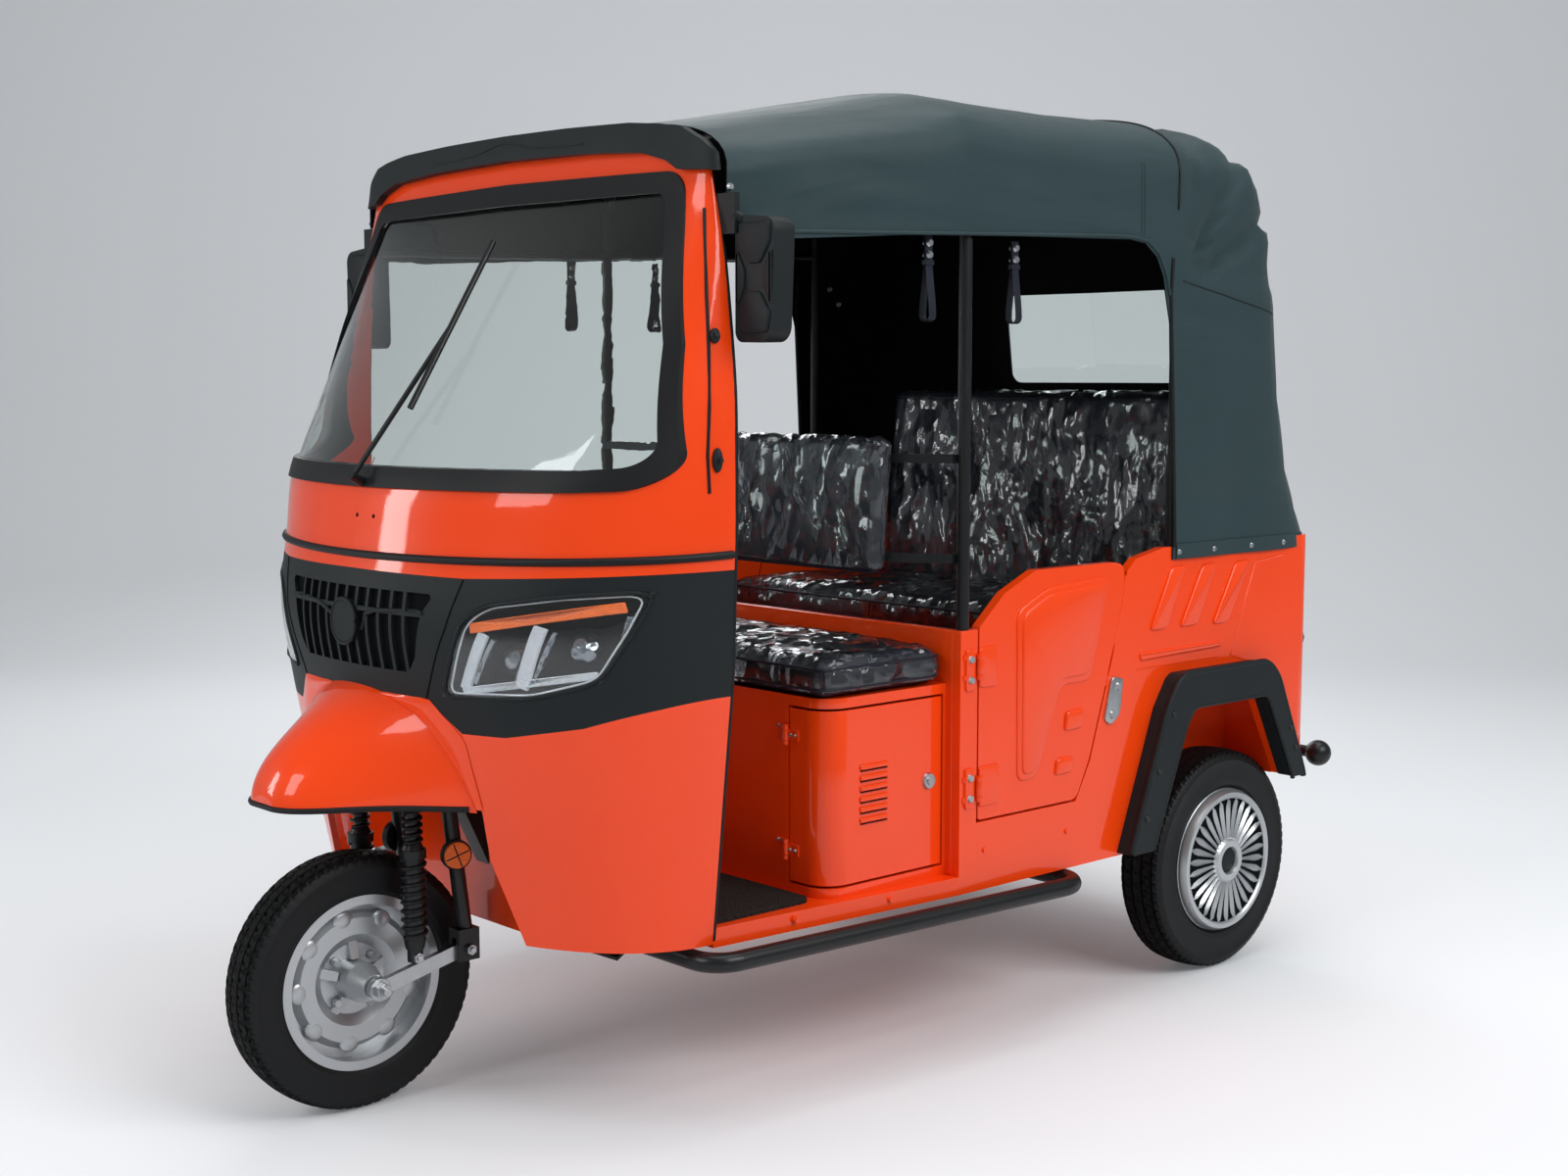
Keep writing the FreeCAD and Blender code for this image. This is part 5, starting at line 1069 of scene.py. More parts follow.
def canopy_skin(bm):
    """One open skin of the canvas: rows along the roof, then a fan round the back."""
    starts = [(CANOPY_FOOT + 26 * k, 0.0) for k in range(20)]
    starts += [(CANOPY_HEART, math.radians(90) * k / 50) for k in range(51)]

    def meridian(station, azimuth):
        points = []
        for z, lift in starts:
            way = (math.sin(azimuth) * math.cos(lift), math.cos(azimuth) * math.cos(lift), math.sin(lift))
            points.append(bm.verts.new(canopy_point((station, 0, z), way)))
        return points

    rows = []
    for i in range(56):
        station = CANOPY_FRONT + 2 + (CANOPY_POLE - CANOPY_FRONT - 2) * i / 55
        left, right = meridian(station, 0.0), meridian(station, math.pi)
        rows.append(left + list(reversed(right))[1:])
    fill_rows(bm, rows)
    fan = [rows[-1][:len(starts)]]
    turns = 96
    for k in range(1, turns):
        azimuth = math.pi * k / turns
        fan.append(meridian(CANOPY_POLE, azimuth + 0.28 * math.sin(2 * azimuth)))
    fan.append(list(reversed(rows[-1]))[:len(starts)])
    fill_rows(bm, fan)
    bmesh.ops.remove_doubles(bm, verts=bm.verts, dist=0.0008)
    bmesh.ops.recalc_face_normals(bm, faces=bm.faces)


def cutter(outline, place, way):
    """Closed block: an outline run along way."""
    bm = bmesh.new()
    top = extruded(bm, [bm.faces.new([bm.verts.new(place(u, v)) for u, v in outline])])[1]
    bmesh.ops.translate(bm, verts=top, vec=way)
    bmesh.ops.recalc_face_normals(bm, faces=bm.faces)
    mesh = bpy.data.meshes.new("cutter")
    bm.to_mesh(mesh)
    bm.free()
    tool = bpy.data.objects.new("cutter", mesh)
    bpy.context.scene.collection.objects.link(tool)
    return tool


def cut_away(piece, tools):
    """Cuts blocks out of a piece and drops the blocks."""
    for tool in tools:
        cut = piece.modifiers.new("cut", "BOOLEAN")
        cut.operation = "DIFFERENCE"
        cut.solver = "EXACT"
        cut.object = tool
    bpy.context.view_layer.update()
    shaped = piece.evaluated_get(bpy.context.evaluated_depsgraph_get())
    mesh = bpy.data.meshes.new_from_object(shaped)
    old = piece.data
    piece.modifiers.clear()
    piece.data = mesh
    mesh.name = piece.name
    bpy.data.meshes.remove(old)
    for tool in tools:
        blade = tool.data
        bpy.data.objects.remove(tool)
        bpy.data.meshes.remove(blade)


class RICKSHAW_OT_canopy(bpy.types.Operator):
    """One curved canvas over its bows, with hems, seams, piping and studs"""
    bl_idname = "rickshaw.canopy"
    bl_label = "Canopy"

    def execute(self, context):
        bm = bmesh.new()
        canopy_skin(bm)
        skin = BVHTree.FromBMesh(bm)
        bmesh.ops.solidify(bm, geom=list(bm.faces), thickness=CLOTH)
        bmesh.ops.recalc_face_normals(bm, faces=bm.faces)
        piece = finish_piece("canopy_cloth", bm, [CANVAS, LINING_AND_SHADE], 60)
        tools = [cutter(SIDE_OPENING, lambda u, v: at(u, -800, v), Vector((0, 1.6, 0))),
                 cutter(rounded(rectangle(*REAR_PANE), 30), lambda y, z: at(2500, y, z), Vector((0.9, 0, 0)))]
        tools += [cutter(rectangle(*BRACKET_SLOT), lambda u, v, s=side: at(u, s * 560, v),
                         Vector((0, side * 0.07, 0))) for side, _ in SIDES]
        cut_away(piece, tools)
        mesh = piece.data
        pole_x = AXLE_X - CANOPY_POLE / 1000
        for face in mesh.polygons:
            away = Vector((min(0.0, face.center.x - pole_x), face.center.y,
                           max(0.0, face.center.z - CANOPY_HEART / 1000)))
            face.material_index = 0 if face.normal.dot(away) > -0.0001 else 1
            face.use_smooth = True
        mesh.set_sharp_from_angle(angle=math.radians(60))
        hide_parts("canopy")

        def on_cloth(d, y, z, proud=0.001):
            hit, normal, _, _ = skin.find_nearest(at(d, y, z))
            outer = normal.dot(Vector((0, y, 1))) > 0 or d > 1700
            return hit + (normal if outer else -normal) * proud

        seams, hems, studs = bmesh.new(), bmesh.new(), bmesh.new()
        for side, _ in SIDES:
            line = []
            for k in range(71):
                lift = math.radians(22 + 68 * k / 70)
                way = Vector((0, side * math.cos(lift), math.sin(lift)))
                hit = skin.ray_cast(at(1700 + 36 * math.sin(lift) ** 0.5, 0, CANOPY_HEART), way)[0]
                line.append(hit + way * 0.001)
            add_bead(seams, line, 0.0028, 6)
            for d in (1596, 1606):
                add_bead(seams, [on_cloth(d, CLOTH_Y * side, 1686 + 8 * k, 0.0002) for k in range(20)], 0.0007, 5)
            add_bead(seams, [on_cloth(d, CLOTH_Y * side, z, 0.0005) for d, z in REAR_EDGE], 0.0045)
            add_bead(seams, [on_cloth(1745 + 28 * k, CLOTH_Y * side, 1592 - 5 * k, 0.0003) for k in range(14)],
                     0.0014, 6)
            path = [(435 + 40 * k, 1640 + 40 * k * 0.0365) for k in range(28)] + list(HEM_CORNER)
            add_bead(hems, [on_cloth(d, CLOTH_Y * side, z) for d, z in path], 0.0038)
        finish_piece("canopy_piping", seams, RUBBER, 60, slot="canvas")
        finish_piece("canopy_hems", hems, CANVAS, 60)

        border = bmesh.new()
        ring = []
        for k in range(61):
            t = k / 60 * 2 - 1
            if abs(t) > 0.55:
                ring.append((1738 + (1 - (abs(t) - 0.55) / 0.45) * 470, 607 * (1 if t > 0 else -1)))
            else:
                angle = t / 0.55 * math.pi / 2
                ring.append((2205 + 84 * math.cos(angle) ** 0.4, 606 * math.sin(angle)))
        rows = [[border.verts.new(on_cloth(d, y, z, 0.0016)) for d, y in ring] for z in (981, 1014)]
        fill_rows(border, rows)
        border.normal_update()
        bmesh.ops.solidify(border, geom=list(border.faces), thickness=0.0014)
        finish_piece("canopy_border", border, CANVAS, 50)

        for side, _ in SIDES:
            for d in (1748, 1875, 2020, 2150, 2240):
                add_stud(studs, on_cloth(d, 606 * side, 996, 0.0015), (0, side * 0.004, 0), 0.0075, 14, 0.005)
        for y in (-480, -290, -100, 100, 290, 480):
            add_stud(studs, on_cloth(2330, y, 996, 0.0015), (-0.004, 0, 0), 0.0075, 14, 0.005)
        for d, z in ((1817, 1613), (1850, 1574), (1765, 1446)):
            add_rod(studs, at(d, -597, z), at(d, -591, z), 0.008, 14, 0.005)
        for side, _ in SIDES:
            for z in (1716, 1690):
                add_stud(studs, on_cloth(438, CLOTH_Y * side, z), (0, side * 0.005, 0), 0.007, 14, 0.005)
        finish_piece("canopy_studs", studs, ZINC, 30)
        return {"FINISHED"}


# ---------------------------------------------------------------- seats

# Each seat piece with its crown and corner radius in metres, the face that swells, the place its film is gathered
# to, its lean (run for each unit of rise) and, where it leans, its thickness
SEATS = (("driver_cushion", 0.011, 0.034, "Z", (1.0, 0.5, 0.8), 0.0, None),
         ("driver_backrest", 0.008, 0.026, "X", (0.9, 0.3, 1.15), -0.0727, 0.058),
         ("passenger_cushion", 0.012, 0.032, "Z", (0.3, 0.1, 0.7), 0.0, None),
         ("passenger_backrest", 0.012, 0.034, "X", (0.2, 0.25, 0.9), -0.0909, 0.088))
# How far the film stands off its cushion, in metres
FILM_SLACK = 0.0015


def split_long_edges(bm, length, rounds):
    """Halves edges longer than a length, a few times over, and leaves triangles where the grid breaks."""
    for _ in range(rounds):
        long_edges = [e for e in bm.edges if e.calc_length() > length]
        if not long_edges:
            break
        bmesh.ops.subdivide_edges(bm, edges=long_edges, cuts=1, use_grid_fill=True)
    bmesh.ops.triangulate(bm, faces=[f for f in bm.faces if len(f.verts) > 4])


def crowned_pad(node_name, low, high, crown, corner, lean, crown_face):
    """Padded cushion in place of a plain one: a block with rounded edges whose face swells by crown."""
    bm = bmesh.new()
    add_box(bm, low, high)
    size, middle = high - low, (low + high) / 2
    bmesh.ops.bevel(bm, geom=list(bm.edges), offset=min(corner, min(size) * 0.42), affect="EDGES", segments=5,
                    profile=0.5, material=-1)
    split_long_edges(bm, 0.045, 5)
    axis = "XYZ".index(crown_face)
    others = [k for k in range(3) if k != axis]
    for vert in bm.verts:
        p = vert.co
        u, v = ((p[k] - middle[k]) / (size[k] / 2) for k in others)
        swell = crown * (1 - u ** 4) * (1 - v ** 4) * (1 + 0.35 * noise.noise(Vector(p) * 9))
        p[axis] += swell if p[axis] > middle[axis] else -0.25 * swell
        p.x += lean * (p.z - low.z)
    piece = finish_piece("pad_" + node_name, bm, HIDE, 60)
    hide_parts(node_name)
    return piece


def seat_seams(bm, low, high, corner, lean):
    """Welts round the edges of a cushion, where its top and front panels are sewn to the border."""
    for level in (high.z - corner / 2, low.z + corner / 2):
        outline = rounded(rectangle(low.x, low.y, high.x, high.y), corner, 6)
        add_bead(bm, [(x + lean * (level - low.z), y, level) for x, y in outline], 0.0032, 6, closed=True)


def film_over(pad, name, gather, foot):
    """Loose clear wrapping round a cushion above its foot, creased and pinched, as its own thin sheet."""
    crinkle = bpy.context.scene.rickshaw_sizes.crinkle
    bm = bmesh.new()
    bm.from_mesh(pad.data)
    bmesh.ops.delete(bm, geom=[f for f in bm.faces if f.calc_center_median().z < foot], context="FACES")
    split_long_edges(bm, 0.012, 2)
    bm.normal_update()
    for vert in bm.verts:
        p = vert.co
        stretched = Vector((p.x * 5.0, p.y * 15.0, p.z * 6.5)) * 1.6
        warp = Vector((noise.noise(p * 4.0 + Vector((3, 1, 8))), noise.noise(p * 4.0),
                       noise.noise(p * 4.0 + Vector((9, 5, 2))))) * 2.2
        ridge = 1 - abs(noise.noise(stretched + warp)) * 2.4
        small = 1 - abs(noise.noise(stretched * 2.7 + warp * 2.0)) * 2.4
        fan = math.sin(math.atan2(p.z - gather.z, p.y - gather.y) * 30 + 4 * noise.noise(p * 6))
        near = math.exp(-(p - gather).length * 7)
        vert.co += vert.normal * (FILM_SLACK + crinkle * (1.1 * max(0.0, ridge) + 0.5 * max(0.0, small)
                                                          + 1.2 * near * fan))
    area = sum(face.calc_area() for face in bm.faces)
    return finish_piece(name, bm, FILM, 180), area


class RICKSHAW_OT_seats(bpy.types.Operator):
    """Padded seats in leathercloth under loose clear film"""
    bl_idname = "rickshaw.seats"
    bl_label = "Seats"

    def execute(self, context):
        seams = bmesh.new()
        for node_name, crown, corner, face, gather, lean, width in SEATS:
            low, high = (Vector(c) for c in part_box(node_name))
            if width:
                low.x = high.x - width
            low += Vector((0.004, 0.004, 0.002))
            high -= Vector((0.004, 0.004, 0.004))
            high["XYZ".index(face)] -= crown * 0.9 + 0.003
            piece = crowned_pad(node_name, low, high, crown, corner, lean, face)
            seat_seams(seams, low, high, corner, lean)
            film, area = film_over(piece, "film_" + node_name, Vector(gather), low.z + 0.012)
        finish_piece("seat_welts", seams, HIDE, 60)
        return {"FINISHED"}


# ---------------------------------------------------------------- flanks and doors

# Outlines of (station, z) in millimetres
DOOR_PANEL = ((1212, 904), (1310, 946), (1510, 959), (1451, 738), (1353, 737), (1279, 549), (1218, 546))
DOOR_INNER = ((1226, 896), (1314, 934), (1494, 946), (1440, 752), (1344, 751), (1270, 563), (1230, 560))
DOOR_STEPS = (((1372, 679), (1429, 680), (1424, 639), (1367, 637)),
              ((1343, 581), (1397, 582), (1392, 547), (1337, 545)))
HINGE_PADS = (((1097, 838), (1152, 842), (1150, 757), (1098, 759)),
              ((1100, 595), (1158, 596), (1160, 514), (1101, 512)))
HINGE_TOPS = (838, 596)
QUARTER_RIBS = (((1725, 964), (1777, 965), (1712, 828), (1652, 826)),
                ((1839, 962), (1894, 964), (1823, 827), (1759, 826)),
                ((1964, 960), (2024, 963), (1939, 825), (1881, 822)))
QUARTER_SLOT = ((1619, 780), (1919, 782), (1916, 769), (1623, 763))
QUARTER_LINES = ((((1572, 955), (1565, 913), (1536, 818), (1505, 720)), 0.0012, 0.006),
                 (((1612, 746), (1911, 747)), 0.001, 0.005),
                 (((2159, 967), (2053, 956), (1957, 746), (2043, 723), (2112, 680)), 0.0014, 0.007))
LATCH = ((1522, 738), (1560, 732), (1550, 654), (1520, 632), (1498, 646))
LATCH_BOLTS = ((1540, 716), (1521, 656))
SILL_BOLTS = ((620, 360), (860, 360), (1120, 420), (1380, 420))


def ribs(bm, side, outlines, radius, proud, bevel):
    """Raised ribs with rounded ends on one flank."""
    for outline in outlines:
        add_plate(bm, outward(rounded(outline, radius), side), on_flank(side, -0.0006), proud + 0.0006, bevel, 3)


class RICKSHAW_OT_flanks(bpy.types.Operator):
    """Pressed ribs and folds of the doors and rear flanks, with hinge pads, latch plates and sill bolts"""
    bl_idname = "rickshaw.flanks"
    bl_label = "Pressed flanks"

    def execute(self, context):
        height = context.scene.rickshaw_sizes.rib_height
        for side, tag in SIDES:
            out, door = Vector((0, side, 0)), "passenger_door_" + tag
            bm = bmesh.new()
            ribs(bm, side, [DOOR_PANEL], 26, height * 0.7, 0.0038)
            ribs(bm, side, [DOOR_INNER], 22, height * 1.4, 0.0045)
            ribs(bm, side, DOOR_STEPS, 10, height * 1.1, 0.005)
            finish_piece("door_pressing_" + tag, bm, PAINT, 50, body=door)
            bm = bmesh.new()
            ribs(bm, side, QUARTER_RIBS, 16, height * 1.2, 0.0055)
            ribs(bm, side, [QUARTER_SLOT], 6, height, 0.0045)
            for line, proud, width in QUARTER_LINES:
                add_bead(bm, [on_flank(side, proud - width)(u, v) for u, v in line], width, 10)
            finish_piece("flank_pressing_" + tag, bm, PAINT, 50)

            bm = bmesh.new()
            ribs(bm, side, HINGE_PADS, 8, 0.0045, 0.002)
            finish_piece("hinge_pads_" + tag, bm, PAINT, 50, body=door)
            plates, bolts = bmesh.new(), bmesh.new()
            for top in HINGE_TOPS:
                ribs(plates, side, [rectangle(1058, top, 1085, top - 84)], 7, 0.0055, 0.002)
                for z in (top - 20, top - 62):
                    add_stud(bolts, on_flank(side, 0.005)(1071, z), out * 0.005, 0.0085, 18, 0.0065)
            finish_piece("pillar_plates_" + tag, plates, PAINT, 50)
            finish_piece("pillar_bolts_" + tag, bolts, ZINC, 30)

            latch = bmesh.new()
            add_plate(latch, outward(rounded(LATCH, 10), side), on_flank(side), 0.006, 0.002, 3)
            for u, v in LATCH_BOLTS:
                add_stud(latch, on_flank(side, 0.006)(u, v), out * 0.005, 0.0095, 16, 0.007)
            finish_piece("latch_plate_" + tag, latch, ZINC)

            sills = bmesh.new()
            for u, v in SILL_BOLTS:
                p = on_flank(side, y=0.566 + 0.034 * min(1.0, (u - 430) / 615))(u, v)
                add_rod(sills, p - out * 0.004, p + out * 0.004, 0.007, 16, 0.005)
            finish_piece("sill_bolts_" + tag, sills, PAINT, 30)
        return {"FINISHED"}


# Flare edges as (outline, corner radius, last station, inset, bead radius), all over FLARE_FOOT, and its bolts
FLARE_FOOT = 344
FLARE_EDGES = (((1553, 300), (1553, 345), (1673, 655), (1722, 727), (2050, 727), (2092, 690), (2208, 440),
                (2208, 400)), 36, 2207, 0.006, 0.0075), \
              (((1625, 300), (1625, 345), (1740, 615), (1768, 650), (2050, 650), (2162, 440), (2162, 400)),
               18, 2161, 0.004, 0.0055)
FLARE_BOLTS = ((2142, 560), (2164, 510), (1600, 420), (1640, 520), (1690, 640))
TAIL_RING = ((2289, 770), (2305, 768), (2311, 752), (2305, 736), (2289, 734))


class RICKSHAW_OT_flares(bpy.types.Operator):
    """Stepped edge and fixings of the rear wheel flares, and hooks at the tail"""
    bl_idname = "rickshaw.flares"
    bl_label = "Flares and hooks"

    def execute(self, context):
        rim, bolts, hooks = bmesh.new(), bmesh.new(), bmesh.new()
        face_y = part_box("wheel_flares")[1].y
        for side, _ in SIDES:
            for outline, radius, last, inset, bead in FLARE_EDGES:
                line = [(u, v) for u, v in rounded(outline, radius)[6:-6] if v > FLARE_FOOT and u < last]
                add_bead(rim, [on_flank(side, -inset, face_y)(u, v) for u, v in line], bead)
            for u, v in FLARE_BOLTS:
                add_stud(bolts, on_flank(side, -0.001, face_y)(u, v), (0, side * 0.004, 0), 0.008, 16, 0.006)
            for z in (900, 855):
                start = at(2286, 560 * side, z)
                add_bead(hooks, [start, start + Vector((-0.012, 0, 0)), start + Vector((-0.018, 0, -0.010)),
                                 start + Vector((-0.016, 0, -0.022))], 0.0038)
            add_bead(hooks, [at(d, 560 * side, z) for d, z in TAIL_RING], 0.0042)
        finish_piece("flare_edges", rim, PLASTIC, 60)
        finish_piece("flare_bolts", bolts, CHASSIS)
        finish_piece("tail_hooks", hooks, CHASSIS, 60)
        return {"FINISHED"}


# Louvres of the seat box's door, and their spacing in millimetres
LOUVRES, LOUVRE_PITCH = 6, 21


class RICKSHAW_OT_seat_box(bpy.types.Operator):
    """Louvres with painted shade under them, lock and hinge screws of the seat box's door"""
    bl_idname = "rickshaw.seat_box"
    bl_label = "Seat box details"

    def execute(self, context):
        side_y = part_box("seat_box")[1].y
        bm, vent_shade = bmesh.new(), bmesh.new()
        for k in range(LOUVRES):
            z = 625 - LOUVRE_PITCH * k
            slot = outward(rounded(rectangle(802, z + 7, 879, z - 4), 5, 3), 1)
            add_plate(bm, slot, on_flank(1, -0.0005, side_y), 0.0055, 0.0035, 3)
            # A thin near-black block under each louvre: painted shade in the louvre's opening
            z = (619.5 - LOUVRE_PITCH * k) / 1000
            add_box(vent_shade, (AXLE_X - 0.877, side_y - 0.0004, z - 0.0010), (AXLE_X - 0.804, side_y + 0.0030, z + 0.0004))
        finish_piece("seat_box_louvres", bm, PAINT, body="seat_box_lid")
        finish_piece("seat_box_vent_shade", vent_shade, LINING_AND_SHADE, body="seat_box_lid")

        bm = bmesh.new()
        lock = Vector((AXLE_X - 0.995, side_y, 0.575))
        add_stud(bm, lock, (0, 0.006, 0), 0.017, 28, 0.015)
        add_stud(bm, lock, (0, 0.009, 0), 0.009, 20, 0.008)
        for z in (0.462, 0.690):
            for off in (0.010, 0.024):
                for face, lift in ((1, 0.0), (-1, 0.0155)):
                    screw = Vector((AXLE_X - 0.709, 0.452 + face * off, z + lift))
                    add_stud(bm, screw, (0.0042, 0, 0), 0.004, 10, 0.003)
        finish_piece("seat_box_lock", bm, ZINC, 30, body="seat_box_lid")
        return {"FINISHED"}


# ---------------------------------------------------------------- cab and cabin fittings

# Raised fields on a mirror's back as (out, up) in millimetres from its middle
MIRROR_MIDDLE = (440, 664, 1556)
MIRROR_FIELDS = (((-42, 96), (42, 96), (42, 62), (16, 24), (-16, 24), (-42, 62)),
                 ((-42, -96), (-42, -62), (-16, -24), (16, -24), (42, -62), (34, -96)),
                 ((-45, 50), (-24, 14), (-24, -14), (-45, -50)), ((45, 50), (45, -50), (24, -14), (24, 14)))
# Catches on the pillars as (station, z, length), and the gutter line down them as (station, z)
CATCHES = ((395, 1455, 1.0), (388, 1238, 1.6))
GUTTER = ((411, 1679), (391, 1533), (383, 1430), (376, 1330), (370, 1245), (372, 1180))
# Hand straps: their stations and side place, and half a loop as (spread, z) in metres
STRAP_STATIONS, STRAP_Y = (960, 1212), 0.5827
STRAP_LOOP = ((0.0022, 1.655), (0.0024, 1.640), (0.0026, 1.610), (0.0035, 1.592), (0.0068, 1.565), (0.0103, 1.540),
              (0.0128, 1.518))
LOOP_END_R, LOOP_END_Z = 0.0135, 1.5035
# Mats as (front station, rear station, half width), and the floor's top in metres
MATS = ((436, 696, 540), (1070, 1415, 556))
FLOOR_TOP = 0.3752
# Driver's doorway edging: its station, foot and rise
DOORWAY_STATION, DOORWAY_FOOT, DOORWAY_RISE = 431.5, 352, 1290
# Two small holes in the nose as (y, z), each drawn as a near-black disc of painted shade
BADGE_HOLE_SHADES = ((0, 1127), (56, 1127))


class RICKSHAW_OT_fittings(bpy.types.Operator):
    """Mirror relief, pillar catches, straps with their studs, mats, doorway edging, peak's lip and near-black discs of
    painted shade for the badge holes
    """
    bl_idname = "rickshaw.fittings"
    bl_label = "Cab fittings"

    def execute(self, context):
        bm = bmesh.new()
        d, y, z = MIRROR_MIDDLE
        for side, _ in SIDES:
            centre = at(d, side * y, z) - AHEAD * 0.0006
            for shape in MIRROR_FIELDS:
                add_plate(bm, outward(rounded(shape, 8, 3), side),
                          lambda u, v: centre + Vector((0, side * u / 1000, v / 1000)), 0.0052, 0.0035)
        finish_piece("mirror_relief", bm, PLASTIC, 45)

        pillar = skin_tree("cab_frame")
        gutters, knobs = bmesh.new(), bmesh.new()
        for side, _ in SIDES:
            for d, z, length in CATCHES:
                found = from_beside(pillar, d, side, z)
                if found:
                    p, out = found
                    out = out if out.y * side > 0 else -out
                    place = Matrix.Translation(p + out * 0.003) @ facing(out)
                    add_ball(knobs, place @ Matrix.Diagonal((0.9, 1.25 * length, 0.75, 1)), 0.011, 20, 12)
                    add_rod(knobs, p + out * 0.008, p + out * 0.017, 0.0045, 12)
            line = [from_beside(pillar, d, side, z) for d, z in GUTTER]
            add_bead(gutters, [found[0] for found in line if found], 0.0035, 6)
        finish_piece("pillar_gutters", gutters, RUBBER, 60)
        finish_piece("pillar_catches", knobs, PLASTIC, 60)

        straps, studs = bmesh.new(), bmesh.new()
        half = list(STRAP_LOOP)
        half += [(LOOP_END_R * math.cos(math.radians(a)), LOOP_END_Z - LOOP_END_R * math.sin(math.radians(a)))
                 for a in range(0, 91, 15)]
        loop = half + [(-v, z) for v, z in reversed(half[:-1])]
        for d in STRAP_STATIONS:
            for side, _ in SIDES:
                x, y = AXLE_X - d / 1000, side * STRAP_Y
                rows = [[straps.verts.new(Vector((x + w, y + v, z))) for w in (-0.010, 0.0, 0.010)] for v, z in loop]
                bmesh.ops.solidify(straps, geom=fill_rows(straps, rows), thickness=0.0022)
                add_box(straps, (x - 0.012, y - 0.0055, 1.599), (x + 0.012, y + 0.0055, 1.609))
                for z in (1.642, 1.619):
                    for face in (1, -1):
                        add_stud(studs, Vector((x, y + face * 0.004, z)), (0, face * 0.0045, 0), 0.0085, 18, 0.006)
        band = finish_piece("hand_straps", straps, HIDE, bevel=0.0006, slot="strap_vinyl")
        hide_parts("grab_straps")
        finish_piece("strap_studs", studs, ZINC)

        bm = bmesh.new()
        for front, rear, half in MATS:
            outline = outward(rounded(rectangle(front, -half, rear, half), 30), -1)
            add_plate(bm, outline, lambda u, v: Vector((AXLE_X - u / 1000, v / 1000, FLOOR_TOP)), 0.009, 0.003)
        finish_piece("floor_mats", bm, MAT, 50)

        bm = bmesh.new()
        cab = skin_tree("front_cowl", "cab_frame", "fascia")
        for side, _ in SIDES:
            points = []
            for k in range(37):
                z = DOORWAY_FOOT + DOORWAY_RISE * k / 36
                found = from_beside(cab, 424, side, z)
                if found:
                    points.append(Vector((AXLE_X - DOORWAY_STATION / 1000, found[0].y - side * 0.004, z / 1000)))
            add_bead(bm, points, 0.0055)
        finish_piece("doorway_edging", bm, RUBBER, 60)

        bm = bmesh.new()
        lip = round_nose(skin_tree("visor"), 430, lambda a: 1834 - 22 * abs(math.sin(math.radians(a))) ** 3, 78, 40)
        add_bead(bm, lip, 0.002, 6)
        finish_piece("visor_lip", bm, PLASTIC, 60)

        bm = bmesh.new()
        # Near-black discs on the surface: painted shade standing for the holes
        for y, z in BADGE_HOLE_SHADES:
            p, out = from_ahead(pillar, y, z)
            add_rod(bm, p - out * 0.002, p + out * 0.0006, 0.004)
        finish_piece("badge_hole_shades", bm, LINING_AND_SHADE, 60)
        return {"FINISHED"}


# Lamps' side place in metres; lamp frame and plate as rectangles of (y, z), and the ribs' heights, in millimetres
TAIL_LAMP_Y, TAIL_LAMP_FRAME = 0.505, (466, 696, 544, 884)
TAIL_RIBS = (560, 640, 930)
PLATE_PLACE = (-170, 690, 170, 800)


class RICKSHAW_OT_tail(bpy.types.Operator):
    """Lamp divisions, plate place and pressed ribs of the rear"""
    bl_idname = "rickshaw.tail"
    bl_label = "Tail details"

    def execute(self, context):
        face_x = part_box("tail_lamps")[0].x
        lens, frames = bmesh.new(), bmesh.new()
        for side, _ in SIDES:
            y = side * TAIL_LAMP_Y
            for foot, top in ((0.706, 0.758), (0.822, 0.874)):
                add_box(lens, (face_x - 0.004, y - 0.029, foot), (face_x + 0.002, y + 0.029, top))
            outline = rounded(rectangle(*TAIL_LAMP_FRAME), 10)
            add_bead(frames, [Vector((face_x + 0.010, side * u / 1000, v / 1000)) for u, v in outline], 0.005,
                     closed=True)
        finish_piece("tail_lamp_turns", lens, AMBER, bevel=0.002)
        finish_piece("tail_lamp_frames", frames, PLASTIC, 60)

        tail = skin_tree("tail_panel")
        bm = bmesh.new()
        for z in TAIL_RIBS:
            hits = [tail.ray_cast(at(2600, -420 + 28 * k, z), AHEAD)[0] for k in range(31)]
            add_bead(bm, [hit + AHEAD * 0.004 for hit in hits if hit], 0.0075, 10)
        finish_piece("tail_ribs", bm, PAINT, 60)

        bm = bmesh.new()
        panel_x = tail.ray_cast(at(2600, 168, 745), AHEAD)[0].x
        add_plate(bm, list(reversed(rounded(rectangle(*PLATE_PLACE), 10))),
                  lambda y, z: Vector((panel_x - 0.0165, y / 1000, z / 1000)), -0.014)
        finish_piece("plate_place", bm, PLASTIC, bevel=0.002)
        return {"FINISHED"}


# ---------------------------------------------------------------- stage

# Softboxes as (name, place, aim, size, power)
SOFTBOXES = (("softbox_left", (-0.6, 5.2, 4.4), (0.0, 0.0, 0.8), (4.5, 2.4), 230.0),
             ("softbox_front", (5.6, 0.2, 3.2), (0.2, 0.0, 0.9), (2.2, 2.4), 90.0),
             ("softbox_top", (-0.4, 0.6, 6.0), (-0.2, 0.0, 0.0), (6.0, 3.6), 190.0),
             ("softbox_right", (-3.0, -4.6, 3.4), (0.0, 0.0, 1.0), (3.5, 2.5), 90.0),
             ("softbox_strip", (4.4, -3.6, 2.1), (-0.4, 0.0, 1.1), (0.8, 2.0), 42.0))
# Camera, as solved from the photograph: place in metres, yaw and pitch in degrees, lens in millimetres
CAMERA_PLACE, CAMERA_YAW, CAMERA_PITCH, LENS = (2.9902, 3.3417, 1.3856), 47.741, 5.971, 46.59
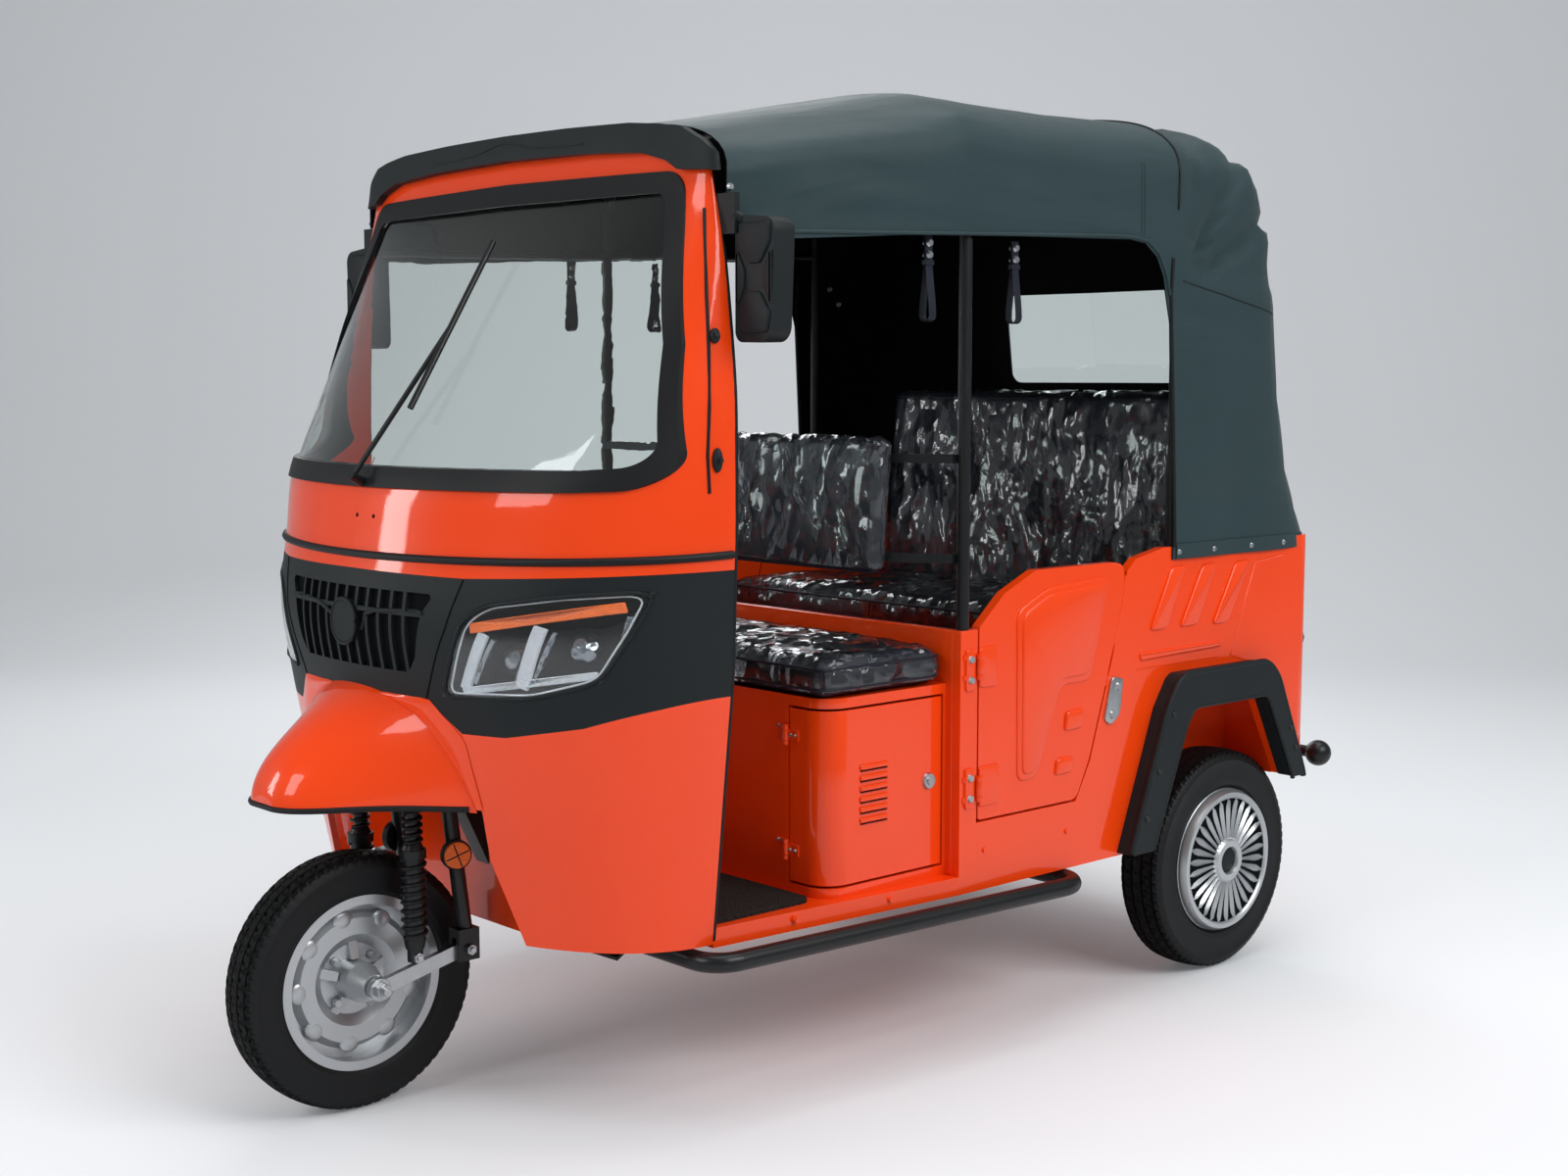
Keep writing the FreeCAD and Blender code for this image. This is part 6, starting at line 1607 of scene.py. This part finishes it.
# Floor and the sweep behind it: width, ends, bend radius and top in metres, and turn in degrees
SWEEP_WIDTH, SWEEP_FRONT, SWEEP_BACK, SWEEP_R, SWEEP_TOP, SWEEP_TURN = 28.0, 9.0, -5.0, 3.0, 9.0, 47.7


def staged(name, data, place=None, way=None):
    """Object of the stage, placed and turned to look along way where given."""
    thing = bpy.data.objects.new(name, data)
    bpy.context.scene.collection.objects.link(thing)
    if place:
        thing.location = place
        thing.rotation_euler = way.to_track_quat("-Z", "Y").to_euler()
    return thing


class RICKSHAW_OT_stage(bpy.types.Operator):
    """Pale floor and sweep, softboxes and the camera"""
    bl_idname = "rickshaw.stage"
    bl_label = "Stage"

    def execute(self, context):
        scene = context.scene
        scene.view_settings.view_transform = "Standard"
        bm = bmesh.new()
        bends = [math.radians(6 * k) for k in range(1, 16)]
        profile = [(SWEEP_FRONT, 0.0), (SWEEP_BACK, 0.0)]
        profile += [(SWEEP_BACK - SWEEP_R * math.sin(a), SWEEP_R - SWEEP_R * math.cos(a)) for a in bends]
        profile.append((SWEEP_BACK - SWEEP_R, SWEEP_TOP))
        turn = Matrix.Rotation(math.radians(SWEEP_TURN), 4, "Z")
        verts = [bm.verts.new(turn @ Vector((x, -SWEEP_WIDTH / 2, z))) for x, z in profile]
        edges = [bm.edges.new(pair) for pair in zip(verts, verts[1:])]
        grown = bmesh.ops.extrude_edge_only(bm, edges=edges)["geom"]
        bmesh.ops.translate(bm, verts=[g for g in grown if isinstance(g, bmesh.types.BMVert)],
                            vec=turn @ Vector((0, SWEEP_WIDTH, 0)))
        bmesh.ops.recalc_face_normals(bm, faces=bm.faces)
        for face in bm.faces:
            face.smooth = True
        mesh = bpy.data.meshes.new("floor")
        bm.to_mesh(mesh)
        bm.free()
        mesh.materials.append(MATERIALS[STUDIO])
        staged("floor", mesh)

        world = bpy.data.worlds.new("studio")
        scene.world = world
        world.use_nodes = True
        tree = world.node_tree
        tree.nodes.clear()
        lit = node(tree, "ShaderNodeBackground", {"Color": linear("#F4F6F8"), "Strength": 0.3})
        seen = node(tree, "ShaderNodeBackground", {"Color": linear("#D6D9DD"), "Strength": 1.0})
        ray = node(tree, "ShaderNodeLightPath")
        mix = node(tree, "ShaderNodeMixShader", {}, {0: ray.outputs["Is Camera Ray"], 1: lit.outputs["Background"],
                                                     2: seen.outputs["Background"]})
        node(tree, "ShaderNodeOutputWorld", {}, {"Surface": mix.outputs["Shader"]})

        for name, place, aim, size, power in SOFTBOXES:
            light = bpy.data.lights.new(name, "AREA")
            light.shape = "RECTANGLE"
            light.size, light.size_y = size
            light.energy = power
            staged(name, light, place, Vector(aim) - Vector(place))

        lens = bpy.data.cameras.new("photo_camera")
        lens.lens = LENS
        lens.sensor_width = 36.0
        yaw, pitch = math.radians(CAMERA_YAW), math.radians(CAMERA_PITCH)
        way = Vector((-math.cos(yaw) * math.cos(pitch), -math.sin(yaw) * math.cos(pitch), -math.sin(pitch)))
        scene.camera = staged("photo_camera", lens, CAMERA_PLACE, way)
        return {"FINISHED"}


# ---------------------------------------------------------------- panel and start

OPERATORS = (RICKSHAW_OT_finishes, RICKSHAW_OT_tyres, RICKSHAW_OT_front_wheel, RICKSHAW_OT_hubcaps,
             RICKSHAW_OT_shocks, RICKSHAW_OT_trim, RICKSHAW_OT_headlamps, RICKSHAW_OT_canopy, RICKSHAW_OT_seats,
             RICKSHAW_OT_flanks, RICKSHAW_OT_flares, RICKSHAW_OT_seat_box, RICKSHAW_OT_fittings,
             RICKSHAW_OT_tail, RICKSHAW_OT_stage)


class RICKSHAW_PT_panel(bpy.types.Panel):
    """Lists the sizes, the colours and the pieces of the rickshaw"""
    bl_label = "Rickshaw"
    bl_idname = "RICKSHAW_PT_panel"
    bl_space_type = "VIEW_3D"
    bl_region_type = "UI"
    bl_category = "Rickshaw"

    def draw(self, context):
        layout = self.layout
        for group in (context.scene.rickshaw_sizes, context.scene.rickshaw_colours):
            for name in group.__annotations__:
                layout.prop(group, name)
        for operator in OPERATORS:
            layout.operator(operator.bl_idname)


CLASSES = (RickshawSizes, RickshawColours) + OPERATORS + (RICKSHAW_PT_panel,)


def register():
    for item in CLASSES:
        bpy.utils.register_class(item)
    bpy.types.Scene.rickshaw_sizes = PointerProperty(type=RickshawSizes)
    bpy.types.Scene.rickshaw_colours = PointerProperty(type=RickshawColours)


def unregister():
    del bpy.types.Scene.rickshaw_colours
    del bpy.types.Scene.rickshaw_sizes
    for item in reversed(CLASSES):
        bpy.utils.unregister_class(item)


def main():
    """Build every piece in order."""
    register()
    for operator in OPERATORS:
        group, name = operator.bl_idname.split(".")
        result = getattr(getattr(bpy.ops, group), name)()
        if result != {"FINISHED"}:
            raise RuntimeError(operator.bl_idname + " did not finish")


if __name__ == "__main__":
    main()
